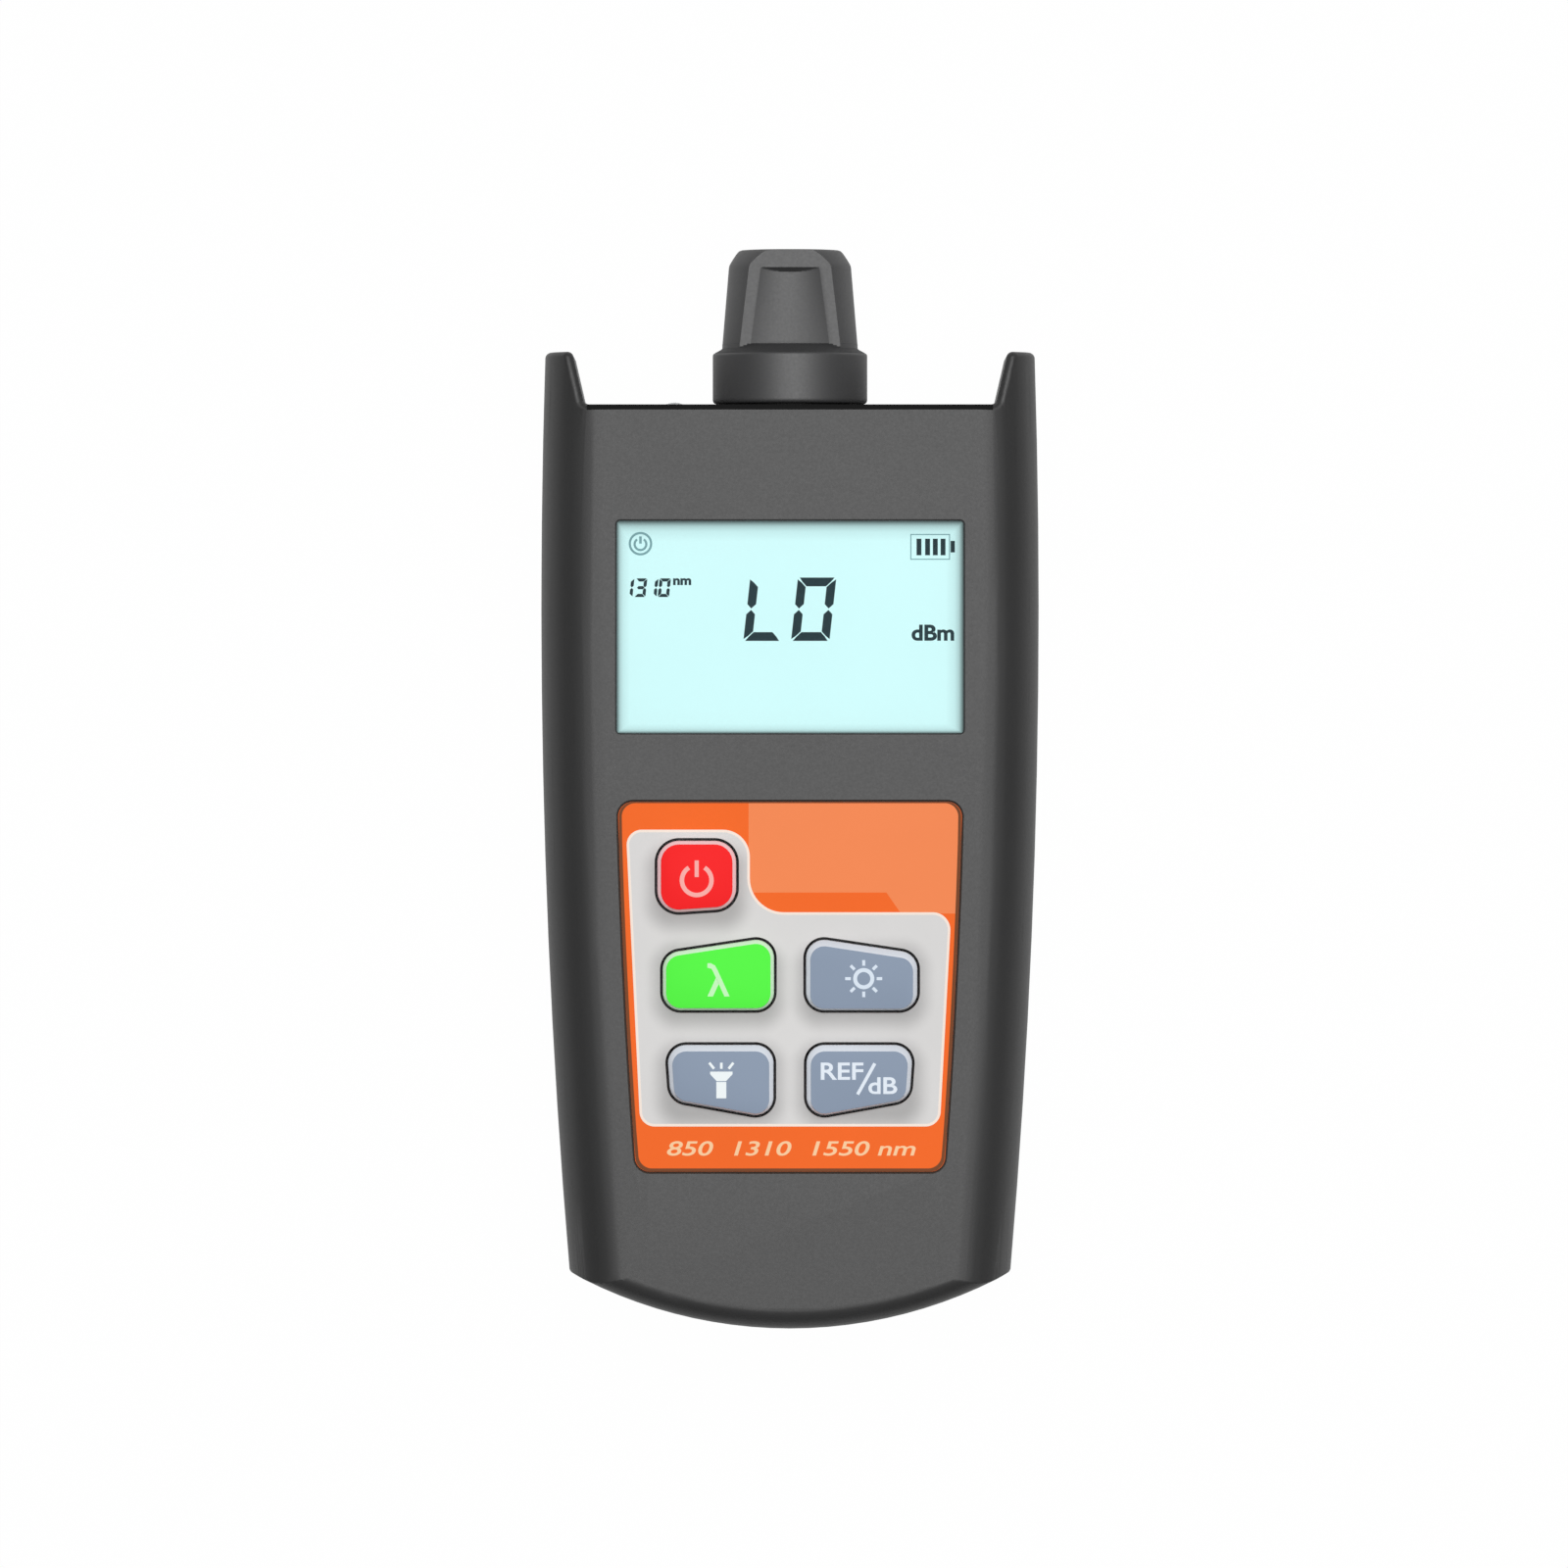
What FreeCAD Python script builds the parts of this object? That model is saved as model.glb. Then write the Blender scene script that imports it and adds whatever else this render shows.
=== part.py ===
import FreeCAD, Part
import math
import os

V = FreeCAD.Vector

# Pocket optical power meter lying on its back.
# X runs across, Y from the tail to the fibre port and Z up through the front face.
# Sizes are in millimetres and the origin is under the middle of the capped meter.

# Case
body_length = 107.5             # tail tip to nose face
case_width = 58.0               # at the widest place
case_depth = 28.0               # back to front face
side_taper = 3.3                # how far each side draws in by the tail corner
tail_bow_radius = 53.2
widest_from_nose = 23.5
horn_length = 6.15              # guards on either side of the port
horn_tip_width = 3.2
horn_root_width = 4.8
wall = 2.0
nose_wall = 2.5
front_side_round = 6.8
back_side_round = 3.5
tail_round = 2.4
corner_round = 0.8
corner_stand_off = 0.02         # the corner rounding is cut this far outside the sides
nose_edge_round = 0.72
lip_height = 1.2
lip_gap = 0.1
seam_groove = 0.3
post_gap = 0.2                  # between a front post and the rear post below it

# Screen
screen_to_side = 8.85           # screen edge to the side of the case at its widest
screen_height = 24.65
screen_from_nose = 25.9         # nose face to screen middle
screen_corner_round = 0.4
screen_edge_round = 0.25
lens_overlap = 1.2              # hidden edge of the lens all round
lens_thickness = 1.0
lens_recess = 0.8               # pocket for the lens in the wall's inner face
lens_play = 0.2
glass_side_margin = 1.1         # hidden edge of the glass beside the screen
glass_end_margin = 2.3
glass_thickness = 2.0
zebra_width = 1.8
zebra_margin = 2.0
panel_play = 0.3
frame_gap = 0.3
frame_wall = 1.4

# Label and keys
label_below_screen = 8.0
label_from_tail = 18.3
label_side_inset = 8.7          # label edge to the side of the case
label_corner_round = 1.7
label_thickness = 0.4
label_recess = 0.5
label_groove = 0.25
key_rise = 1.2                  # above the front face
key_travel = 0.8
key_corner_round = 2.1
power_corner_round = 2.5
key_top_bevel = 0.35
shell_key_gap = 0.3
label_key_gap = 0.32
collar_wall = 0.8
mat_half = 18.5
mat_below_label_top = 1.3
mat_above_label_bottom = 2.5
mat_corner_round = 2.0
mat_rib = 1.2                   # rib of the front shell that holds the mat down
mat_thickness = 1.4
mat_key_gap = 1.1
web_rise = 1.3                  # height of the thin rubber cone between mat and key
web_above_mat = 0.4
web_thickness = 0.4
pill_radius = 1.8
pill_thickness = 0.4

# Key corners: distance from the middle line, and how far down the label as a share of it
power_corners = [(6.26, 0.105), (15.42, 0.105), (15.42, 0.302), (6.26, 0.288)]
middle_corners = [(1.86, 0.365), (14.79, 0.410), (14.79, 0.563), (1.86, 0.563)]
lower_corners = [(1.92, 0.657), (14.33, 0.657), (13.87, 0.806), (1.92, 0.856)]

# Main board
board_below_front = 5.6         # inner face of the front wall to the board
board_thickness = 1.6
board_margin = 1.0
board_from_nose = 7.6

# Battery bay for three AAA cells
cell_radius = 5.25
cell_length = 44.5
cell_pitch = 10.85
nub_radius = 1.9
nub_length = 0.9
cell_gap = 0.25
spring_length = 3.3
coil_base_radius = 3.4
coil_end_radius = 2.6
coil_wire_radius = 0.25
contact_thickness = 0.4
contact_half = 4.0
tab_half = 1.5                  # strip from a contact up to the board
bay_from_tail = 9.0
bay_side_wall = 2.2
bay_end_wall = 1.6
bay_roof = 1.0
door_sink = 0.2                 # keeps the door off the table
door_gap = 0.3
rail_height = 1.0
rail_reach = 0.8                # rail beyond the door plate, over the rear wall
rail_width = 2.5
rail_play = 0.1
rail_headroom = 0.2
door_ledge = 1.6
tongue_half = 1.9
tongue_root = 3.0
grip_from_tail = 12.0           # finger grooves across the door
grip_pitch = 2.2
grip_groove = 1.0
grip_half = 8.0
grip_depth = 0.4

# Packages under the board
processor_size = 10.0
processor_height = 1.4
converter_width = 6.0
converter_length = 5.0
converter_height = 1.6
crystal_size = 4.0
crystal_height = 1.2
package_gap = 4.0

# Screws
case_screw_radius = 1.0
case_head_radius = 2.0
case_head_height = 1.5
case_head_sink = 3.0            # head seat above the back
case_post_radius = 3.0
front_post_radius = 2.6
tail_screw_from_bay = 1.6
tail_screw_from_tail = 14.0
nose_screw_to_side = 8.0
nose_screw_from_nose = 6.3
board_screw_to_side = 8.5
board_screw_half = 12.0         # the two by the tail, from the middle line
board_screw_radius = 0.95
board_head_radius = 1.8
board_head_height = 1.2
board_post_radius = 2.0
screw_play = 0.05

# Fibre port
ferrule_bore_radius = 1.26
barrel_neck_radius = 6.0
barrel_flange_radius = 7.4
barrel_flange = 1.2
gasket_thickness = 0.5
adapter_ring_length = 4.2
adapter_nose_radius = 3.4
adapter_nose_length = 7.6
adapter_thread_radius = 4.5
adapter_thread_length = 2.6
knurl_count = 24
knurl_depth = 0.5
port_play = 0.05
inner_flange = 2.0
socket_radius = 5.0             # seat of the photodiode behind the inner flange
socket_length = 2.5
light_bore_radius = 1.0
can_radius = 2.7
can_length = 3.5
can_lead_reach = 3.0
lead_width = 0.5
lead_half_pitch = 1.27
torch_from_screw = 7.5
torch_radius = 2.5
torch_rise = 0.5
torch_flange = 1.0
torch_lead_reach = 5.1

# Dust cap
cap_gap = 0.3
cap_height = 18.0
cap_collar_radius = 9.04
cap_collar_height = 5.83
cap_shoulder_radius = 6.92
cap_shoulder_height = 6.98
cap_grip_radius = 7.96
cap_grip_end_radius = 7.13
cap_grip_end = 16.2
cap_top_radius = 5.95
cap_flat = 5.32                 # flat to axis
cap_nose_bore = 3.7
cap_ring_depth = 6.1
cap_bore_depth = 16.4
scoop_base_half = 4.63
scoop_end_half = 3.43
scoop_end = 15.9
scoop_depth = 0.7
scoop_ramp = 0.55

# Places that follow from the sizes above
overall_length = body_length + cap_gap + cap_height
tail_y = -overall_length / 2
nose_y = tail_y + body_length
horn_y = nose_y + horn_length
widest_y = nose_y - widest_from_nose
nose_in = nose_y - nose_wall
front_in = case_depth - wall
seam_z = case_depth / 2
port_z = seam_z

tail_width = case_width - 2 * side_taper
tail_centre_y = tail_y + tail_bow_radius
tail_corner_rise = tail_bow_radius - math.sqrt(tail_bow_radius**2 - (tail_width / 2) ** 2)
taper_length = widest_y - tail_y - tail_corner_rise
side_radius = (taper_length**2 + side_taper**2) / (2 * side_taper)
side_centre_x = case_width / 2 - side_radius

screen_width = case_width - 2 * screen_to_side
screen_y = nose_y - screen_from_nose
glass_width = screen_width + 2 * glass_side_margin
glass_height = screen_height + 2 * glass_end_margin
label_top = screen_y - screen_height / 2 - label_below_screen
label_bottom = tail_y + label_from_tail
label_length = label_top - label_bottom
board_top = front_in - board_below_front
board_bottom = board_top - board_thickness
mat_top = board_top + mat_thickness
web_top = mat_top + web_above_mat
key_top = case_depth + key_rise
pill_bottom = board_top + key_travel + 0.1
lens_top = front_in + lens_recess
lens_bottom = lens_top - lens_thickness
glass_bottom = lens_bottom - glass_thickness

bay_half = cell_pitch + cell_radius + 0.2
bay_tail = tail_y + bay_from_tail
bay_nose = bay_tail + cell_length + spring_length + 2 * contact_thickness
door_top = wall + rail_play
cell_z = door_top + cell_gap + cell_radius
roof_in = cell_z + cell_radius + cell_gap
roof_top = roof_in + bay_roof
door_half = bay_half - door_gap
rail_half = door_half + rail_reach
door_end = bay_nose - door_ledge - door_gap


# Basic solids

def box(x0, x1, y0, y1, z0, z1):
    return Part.makeBox(x1 - x0, y1 - y0, z1 - z0, V(x0, y0, z0))


def post(x, y, z0, z1, radius):
    return Part.makeCylinder(radius, z1 - z0, V(x, y, z0))


def rod(x, z, y0, y1, radius):
    return Part.makeCylinder(radius, y1 - y0, V(x, y0, z), V(0, 1, 0))


def slab(wire, z0, z1):
    face = Part.Face(wire)
    face.translate(V(0, 0, z0))
    return face.extrude(V(0, 0, z1 - z0))


def prism(points, z0, z1):
    corners = [V(x, y, 0) for x, y in points]
    return slab(Part.makePolygon(corners + corners[:1]), z0, z1)


def upright_edges(solid):
    return [e for e in solid.Edges if e.BoundBox.ZLength > 0.01
            and e.BoundBox.XLength < 0.01 and e.BoundBox.YLength < 0.01]


def rounded_box(x0, x1, y0, y1, z0, z1, radius):
    block = box(x0, x1, y0, y1, z0, z1)
    return block.makeFillet(radius, upright_edges(block))


def centred_plate(half_x, y, half_y, z0, z1, radius):
    return rounded_box(-half_x, half_x, y - half_y, y + half_y, z0, z1, radius)


def turned(profile):
    """Solid of revolution about the port axis from (radius, y) points."""
    corners = [V(r, y, port_z) for r, y in profile]
    face = Part.Face(Part.makePolygon(corners + corners[:1]))
    return face.revolve(V(0, 0, port_z), V(0, 1, 0), 360)


def joined(solids):
    return solids[0].multiFuse(solids[1:]).removeSplitter()


def edges_at(solid, z):
    return [e for e in solid.Edges if abs(e.BoundBox.ZMin - z) < 1e-3
            and abs(e.BoundBox.ZMax - z) < 1e-3]


# Case outline: two bowed sides and a bowed tail, each pulled in by an inset

def side_x(y, inset=0.0):
    return side_centre_x + math.sqrt((side_radius - inset) ** 2 - (y - widest_y) ** 2)


def tail_edge(x, inset=0.0):
    return tail_centre_y - math.sqrt((tail_bow_radius - inset) ** 2 - x**2)


def arc(start, middle, end):
    return Part.Arc(V(*start, 0), V(*middle, 0), V(*end, 0)).toShape()


def side_block(inset, start_y, end_y, z0, z1):
    middle_y = (start_y + end_y) / 2
    start, middle, end = [(side_x(y, inset), y) for y in (start_y, middle_y, end_y)]
    across = lambda point: (-point[0], point[1])
    right = arc(start, middle, end)
    left = arc(across(end), across(middle), across(start))
    nose = Part.makeLine(V(*end, 0), V(*across(end), 0))
    tail = Part.makeLine(V(*across(start), 0), V(*start, 0))
    return slab(Part.Wire([right, nose, left, tail]), z0, z1)


def tail_block(inset, z0, z1):
    reach = case_width / 2 + wall
    far = horn_y + wall
    corner = (reach, tail_edge(reach, inset))
    other = (-reach, corner[1])
    bow = arc(other, (0, tail_y + inset), corner)
    rest = Part.makePolygon([V(*corner, 0), V(reach, far, 0), V(-reach, far, 0), V(*other, 0)])
    return slab(Part.Wire([bow] + rest.Edges), z0, z1)


def plan_block(inset, end_y, z0, z1):
    sides = side_block(inset, tail_y - wall, end_y, z0, z1)
    return sides.common(tail_block(inset, z0, z1))


def case_form(inset, end_y):
    """Rounded body of the case; its side and tail edges are rounded apart, then meet.

    Inside the walls a flat bevel of the same reach stands for each rounding."""
    low, high = inset, case_depth - inset
    sides = side_block(inset, tail_y - wall, end_y, low, high)
    tail = tail_block(inset, low, high)

    def soften(solid, radius, edges):
        if inset:
            return solid.makeChamfer(radius * (2 - math.sqrt(2)), edges)
        return solid.makeFillet(radius, edges)

    def long_edges(z):
        return [e for e in edges_at(sides, z) if e.BoundBox.YLength > body_length / 2]

    sides = soften(sides, front_side_round - inset, long_edges(high))
    sides = soften(sides, back_side_round - inset, long_edges(low))
    bows = [e for e in edges_at(tail, low) + edges_at(tail, high)
            if e.BoundBox.XLength > tail_width and e.BoundBox.YMax < nose_y]
    return sides.common(soften(tail, tail_round - inset, bows))


def horn_gap(grow, z0, z1):
    """Space between the two guard horns, widened by grow on every side."""
    tip = side_x(horn_y) - horn_tip_width
    root = side_x(nose_y) - horn_root_width
    slope = (tip - root) / horn_length
    widen = grow * math.hypot(1, slope)
    low, high = nose_y - grow, horn_y + 2
    low_x = root + slope * (low - nose_y) + widen
    high_x = root + slope * (high - nose_y) + widen
    return prism([(-low_x, low), (low_x, low), (high_x, high), (-high_x, high)], z0, z1)


def label_block(grow, z0, z1):
    inset = label_side_inset - grow
    block = side_block(inset, label_bottom - grow, label_top + grow, z0, z1)
    return block.makeFillet(label_corner_round + grow, upright_edges(block))


def key_face(key, grow, z):
    """Rounded key outline grown by grow all round; key is (corners, corner radius, side)."""
    corners, radius, side = key
    outline = Part.makePolygon([V(side * x, label_top - share * label_length, 0)
                                for x, share in corners + corners[:1]])
    centres = Part.Face(outline).makeOffset2D(-radius, 2)
    face = centres.makeOffset2D(radius + grow)
    face.translate(V(0, 0, z))
    return face


def key_block(key, grow, z0, z1):
    return key_face(key, grow, z0).extrude(V(0, 0, z1 - z0))


def key_cone(key, low_grow, high_grow, z0, z1):
    rims = [key_face(key, low_grow, z0).OuterWire, key_face(key, high_grow, z1).OuterWire]
    return Part.makeLoft(rims, True, True)


def key_ring(key, inner, outer, z0, z1):
    return key_block(key, outer, z0, z1).cut(key_block(key, inner, z0, z1))


keys = {
    "power": (power_corners, power_corner_round, -1),
    "wavelength": (middle_corners, key_corner_round, -1),
    "backlight": (middle_corners, key_corner_round, 1),
    "torch": (lower_corners, key_corner_round, -1),
    "reference": (lower_corners, key_corner_round, 1),
}

bay_out = bay_half + bay_side_wall
tail_screw_x = bay_out + tail_screw_from_bay
nose_screw_x = case_width / 2 - nose_screw_to_side
torch_x = -nose_screw_x + torch_from_screw
tail_screw_y = tail_y + tail_screw_from_tail
nose_screw_y = nose_y - nose_screw_from_nose
case_screw_places = [(-tail_screw_x, tail_screw_y), (tail_screw_x, tail_screw_y),
                     (-nose_screw_x, nose_screw_y), (nose_screw_x, nose_screw_y)]

frame_half_x = glass_width / 2 + frame_gap + frame_wall
frame_half_y = glass_height / 2 + frame_gap + frame_wall
upper_board_screw_y = screen_y - frame_half_y - board_post_radius - 1.0
upper_board_screw_x = case_width / 2 - board_screw_to_side
board_screw_places = [(-upper_board_screw_x, upper_board_screw_y),
                      (upper_board_screw_x, upper_board_screw_y),
                      (-board_screw_half, tail_screw_y), (board_screw_half, tail_screw_y)]

parts = {}

# Outer form of the closed case, with its corners, nose edges and horns softened
case = case_form(0, horn_y).cut(horn_gap(0, -1, case_depth + 1))
nose_edges = [e for e in case.Edges if e.BoundBox.YMin > nose_y - 0.01]
case = case.makeFillet(nose_edge_round, nose_edges)
plan = plan_block(-corner_stand_off, horn_y + 1, -1, case_depth + 1)
plan = plan.makeFillet(corner_round, [e for e in upright_edges(plan) if e.BoundBox.YMax < 0])
case = case.common(plan)
hollow = case_form(wall, nose_in)

# Shallow groove round the joint of the two shells
seam_low, seam_high = seam_z - seam_groove / 2, seam_z + seam_groove / 2
seam_core = plan_block(seam_groove, horn_y - seam_groove, seam_low, seam_high)
seam_core = seam_core.cut(horn_gap(seam_groove, seam_low - 1, seam_high + 1))
seam_ring = box(-case_width, case_width, tail_y - 5, horn_y + 5, seam_low, seam_high)
seam_ring = seam_ring.cut(seam_core)

everywhere = (-case_width, case_width, tail_y - 5, horn_y + 5)
port_hole = rod(0, port_z, nose_in - 1, nose_y + 1, barrel_neck_radius + 0.1)
torch_hole = rod(torch_x, port_z, nose_in - 1, nose_y + 1, torch_radius + 0.1)

# Front shell: face, posts, screen opening, label recess, key holes with their collars
lip_low = seam_z - lip_height
lip = plan_block(wall / 2, nose_in + wall / 2, lip_low, seam_z)
lip = lip.cut(plan_block(wall, nose_in, lip_low, seam_z))
front = case.common(box(*everywhere, seam_z, case_depth + 1)).cut(hollow)
mat_nose = label_top - mat_below_label_top
mat_tail = label_bottom + mat_above_label_bottom
rib = rounded_box(-mat_half, mat_half, mat_tail, mat_nose, mat_top, front_in,
                  mat_corner_round)
rib = rib.cut(rounded_box(-mat_half + mat_rib, mat_half - mat_rib, mat_tail + mat_rib,
                          mat_nose - mat_rib, mat_top, front_in,
                          mat_corner_round / 2))
collar_low = web_top + key_travel
collars = [key_ring(key, shell_key_gap, shell_key_gap + collar_wall, collar_low, front_in)
           for key in keys.values()]
posts = [post(x, y, seam_z + post_gap / 2, front_in, front_post_radius)
         for x, y in case_screw_places]
board_posts = [post(x, y, board_top, front_in, board_post_radius)
               for x, y in board_screw_places]
front = joined([front, lip, rib] + collars + [p.common(case) for p in posts + board_posts])
screen_hole = centred_plate(screen_width / 2, screen_y, screen_height / 2,
                            front_in - 1, case_depth + 1, screen_corner_round)
lens_half_x = screen_width / 2 + lens_overlap
lens_half_y = screen_height / 2 + lens_overlap
lens_pocket = centred_plate(lens_half_x + lens_play, screen_y, lens_half_y + lens_play,
                            front_in - 0.5, lens_top, 1.2)
cuts = [screen_hole, lens_pocket, seam_ring, port_hole, torch_hole]
cuts.append(label_block(label_groove, case_depth - label_recess, case_depth + 1))
cuts += [key_block(key, shell_key_gap, front_in - 5, case_depth + 1) for key in keys.values()]
cuts += [post(x, y, seam_z, front_in - 2, case_screw_radius + screw_play)
         for x, y in case_screw_places]
cuts += [post(x, y, board_top - 1, front_in - 1, board_screw_radius + screw_play)
         for x, y in board_screw_places]
for cut in cuts:
    front = front.cut(cut)
front = front.removeSplitter()
screen_rim = [e for e in edges_at(front, case_depth) if e.BoundBox.YMin > label_top + 1
              and e.BoundBox.YMax < nose_y - nose_wall and abs(e.BoundBox.Center.x)
              < screen_width / 2 + 0.1]
parts["front_shell"] = front.makeFillet(screen_edge_round, screen_rim)

# Rear shell: back, screw posts, battery bay with door rails and roof, rebate for the lip
rear = case.common(box(*everywhere, -1, seam_z)).cut(hollow)
bay_end = bay_nose + bay_end_wall
bay = box(-bay_out, bay_out, tail_y - 5, bay_end, wall / 2, roof_top)
bay = bay.common(plan_block(wall / 2, nose_y, 0, case_depth))
bay = bay.cut(box(-bay_half, bay_half, bay_tail, bay_nose, 0, roof_in))
bay = bay.cut(box(-bay_half, bay_half, tail_y - 5, bay_tail - bay_end_wall, door_top, roof_top))
rear_posts = [post(x, y, wall / 2, seam_z - post_gap / 2, case_post_radius)
              for x, y in case_screw_places]
rear = joined([rear, bay] + [p.common(case) for p in rear_posts])
rail_room = rail_half + door_gap
rail_top = door_top + rail_height
cuts = [
    box(-bay_half, bay_half, tail_y - 5, bay_nose - door_ledge, -1, door_top),
    box(-rail_room, rail_room, tail_y - 5, bay_nose, wall, rail_top + rail_headroom),
]
rebate = plan_block(wall / 2 - lip_gap, nose_in + wall / 2 + lip_gap, lip_low - lip_gap, roof_top)
rebate = rebate.cut(plan_block(wall + lip_gap, nose_in - lip_gap, lip_low - lip_gap, roof_top))
cuts += [rebate, seam_ring, port_hole, torch_hole]
cuts += [post(x, y, -1, case_head_sink, case_head_radius + 0.3) for x, y in case_screw_places]
cuts += [post(x, y, 0, seam_z, case_screw_radius + 0.25) for x, y in case_screw_places]
roof_slots = [(-cell_pitch, bay_nose - contact_thickness), (cell_pitch, bay_tail)]
cuts += [box(x - tab_half - 0.3, x + tab_half + 0.3, y - 0.1, y + contact_thickness + 0.1,
             roof_in - 0.5, roof_top + 0.5) for x, y in roof_slots]
for cut in cuts:
    rear = rear.cut(cut)
parts["rear_shell"] = rear.removeSplitter()

# Battery door: plate with two rails and two tongues, its tail end shaped like the case
door_form = case_form(0, horn_y)
door_tail = tail_y - 1
door = box(-door_half, door_half, door_tail, door_end, door_sink, door_top)
rails = [box(side * (rail_half - rail_width / 2) - rail_width / 2,
             side * (rail_half - rail_width / 2) + rail_width / 2,
             door_tail, door_end, door_top, rail_top) for side in (-1, 1)]
tongue_x = cell_pitch / 2
tongues = [box(side * tongue_x - tongue_half, side * tongue_x + tongue_half,
               door_end - tongue_root,
               bay_nose - contact_thickness - 0.3, door_top, rail_top) for side in (-1, 1)]
tail_strip = box(-door_half, door_half, door_tail, tail_y + wall + 2, door_top, rail_top)
door = joined([door, tail_strip] + rails + tongues).common(door_form)
for row in range(5):
    groove_y = tail_y + grip_from_tail + grip_pitch * row
    door = door.cut(box(-grip_half, grip_half, groove_y, groove_y + grip_groove,
                        0, door_sink + grip_depth))
parts["battery_door"] = door.removeSplitter()

# Screen stack on the board: backlight, contact strip, glass, frame and lens
glass_tail = screen_y - glass_height / 2
glass_nose = screen_y + glass_height / 2
zebra_nose = glass_nose - panel_play
parts["lcd_window"] = centred_plate(lens_half_x, screen_y, lens_half_y,
                                    lens_bottom, lens_top, 1.0)
lower_glass = box(-glass_width / 2, glass_width / 2, glass_tail, glass_nose,
                  glass_bottom, glass_bottom + glass_thickness / 2)
upper_glass = box(-glass_width / 2, glass_width / 2, glass_tail, zebra_nose - zebra_width,
                  glass_bottom + glass_thickness / 2, lens_bottom)
parts["lcd_panel"] = lower_glass.fuse(upper_glass).removeSplitter()
parts["lcd_backlight"] = box(-glass_width / 2 + panel_play, glass_width / 2 - panel_play,
                             glass_tail + panel_play, zebra_nose - zebra_width - panel_play,
                             board_top, glass_bottom)
parts["zebra_strip"] = box(-glass_width / 2 + zebra_margin, glass_width / 2 - zebra_margin,
                           zebra_nose - zebra_width, zebra_nose, board_top, glass_bottom)
frame = centred_plate(frame_half_x, screen_y, frame_half_y, board_top, front_in, 1.0)
parts["lcd_frame"] = frame.cut(centred_plate(
    frame_half_x - frame_wall, screen_y, frame_half_y - frame_wall, board_top, front_in, 0.4))

# Label and rubber mat, both open at every key
label = label_block(0, case_depth - label_recess, case_depth - label_recess + label_thickness)
mat = rounded_box(-mat_half, mat_half, mat_tail, mat_nose, board_top, mat_top,
                  mat_corner_round)
for key in keys.values():
    label = label.cut(key_block(key, label_key_gap, front_in, case_depth))
    mat = mat.cut(key_block(key, mat_key_gap, board_top, mat_top))
parts["keypad_label"] = label
parts["keypad_mat"] = mat

# Keys with their thin rubber webs and carbon pills
for name, key in keys.items():
    body = key_block(key, 0, pill_bottom + pill_thickness, key_top)
    parts[name + "_key"] = body.makeChamfer(key_top_bevel, edges_at(body, key_top))
    web = key_cone(key, mat_key_gap, web_thickness, web_top - web_rise, web_top)
    parts[name + "_web"] = web.cut(
        key_cone(key, mat_key_gap - web_thickness, 0, web_top - web_rise, web_top))
    middle = body.CenterOfMass
    parts[name + "_pill"] = post(middle.x, middle.y, pill_bottom,
                                 pill_bottom + pill_thickness, pill_radius)

# Main board with the three packages under it
board = plan_block(wall + board_margin, nose_y - board_from_nose, board_bottom, board_top)
for x, y in case_screw_places:
    board = board.cut(post(x, y, board_bottom, board_top, front_post_radius + 0.4))
for x, y in board_screw_places:
    board = board.cut(post(x, y, board_bottom, board_top, board_screw_radius + 0.15))
parts["main_board"] = board
processor_half = processor_size / 2
processor_y = screen_y - processor_half
converter_x = processor_half + package_gap
crystal_x = -processor_half - package_gap - crystal_size
parts["processor_chip"] = box(-processor_half, processor_half, processor_y - processor_half,
                              processor_y + processor_half,
                              board_bottom - processor_height, board_bottom)
parts["converter_chip"] = box(converter_x, converter_x + converter_width, screen_y,
                              screen_y + converter_length,
                              board_bottom - converter_height, board_bottom)
parts["clock_crystal"] = box(crystal_x, crystal_x + crystal_size, processor_y,
                             processor_y + crystal_size,
                             board_bottom - crystal_height, board_bottom)

# Fibre port: photodiode, threaded barrel through the nose, gasket and screwed adapter
flange_y = nose_y + gasket_thickness
ring_y = flange_y + barrel_flange
can_y = nose_in - inner_flange
barrel_back = can_y - socket_length
ring_end = ring_y + adapter_ring_length
parts["detector_barrel"] = turned([
    (light_bore_radius, can_y), (light_bore_radius, ring_y),
    (ferrule_bore_radius, ring_y),
    (ferrule_bore_radius, ring_y + adapter_thread_length),
    (adapter_thread_radius, ring_y + adapter_thread_length),
    (adapter_thread_radius, ring_y), (barrel_flange_radius, ring_y),
    (barrel_flange_radius, flange_y), (barrel_neck_radius, flange_y),
    (barrel_neck_radius, nose_in), (barrel_flange_radius, nose_in),
    (barrel_flange_radius, can_y), (socket_radius, can_y), (socket_radius, barrel_back),
    (can_radius + 0.05, barrel_back), (can_radius + 0.05, can_y)])
adapter = turned([
    (adapter_thread_radius + port_play, ring_y), (barrel_flange_radius, ring_y),
    (barrel_flange_radius, ring_end), (adapter_nose_radius, ring_end),
    (adapter_nose_radius, ring_end + adapter_nose_length - 0.4),
    (adapter_nose_radius - 0.4, ring_end + adapter_nose_length),
    (ferrule_bore_radius, ring_end + adapter_nose_length),
    (ferrule_bore_radius, ring_y + adapter_thread_length),
    (adapter_thread_radius + port_play, ring_y + adapter_thread_length)])
for step in range(knurl_count):
    turn = 360 * step / knurl_count
    groove = box(-knurl_depth, knurl_depth, ring_y + 0.6, ring_end - 0.6, -knurl_depth, knurl_depth)
    groove.rotate(V(0, 0, 0), V(0, 1, 0), 45)
    groove.translate(V(0, 0, barrel_flange_radius + knurl_depth / 2))
    groove.rotate(V(0, 0, 0), V(0, 1, 0), turn)
    groove.translate(V(0, 0, port_z))
    adapter = adapter.cut(groove)
parts["universal_adapter"] = adapter
gasket = rod(0, port_z, nose_y, flange_y, barrel_flange_radius - 0.2)
parts["barrel_gasket"] = gasket.cut(rod(0, port_z, nose_y, flange_y, barrel_neck_radius + 0.1))


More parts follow.
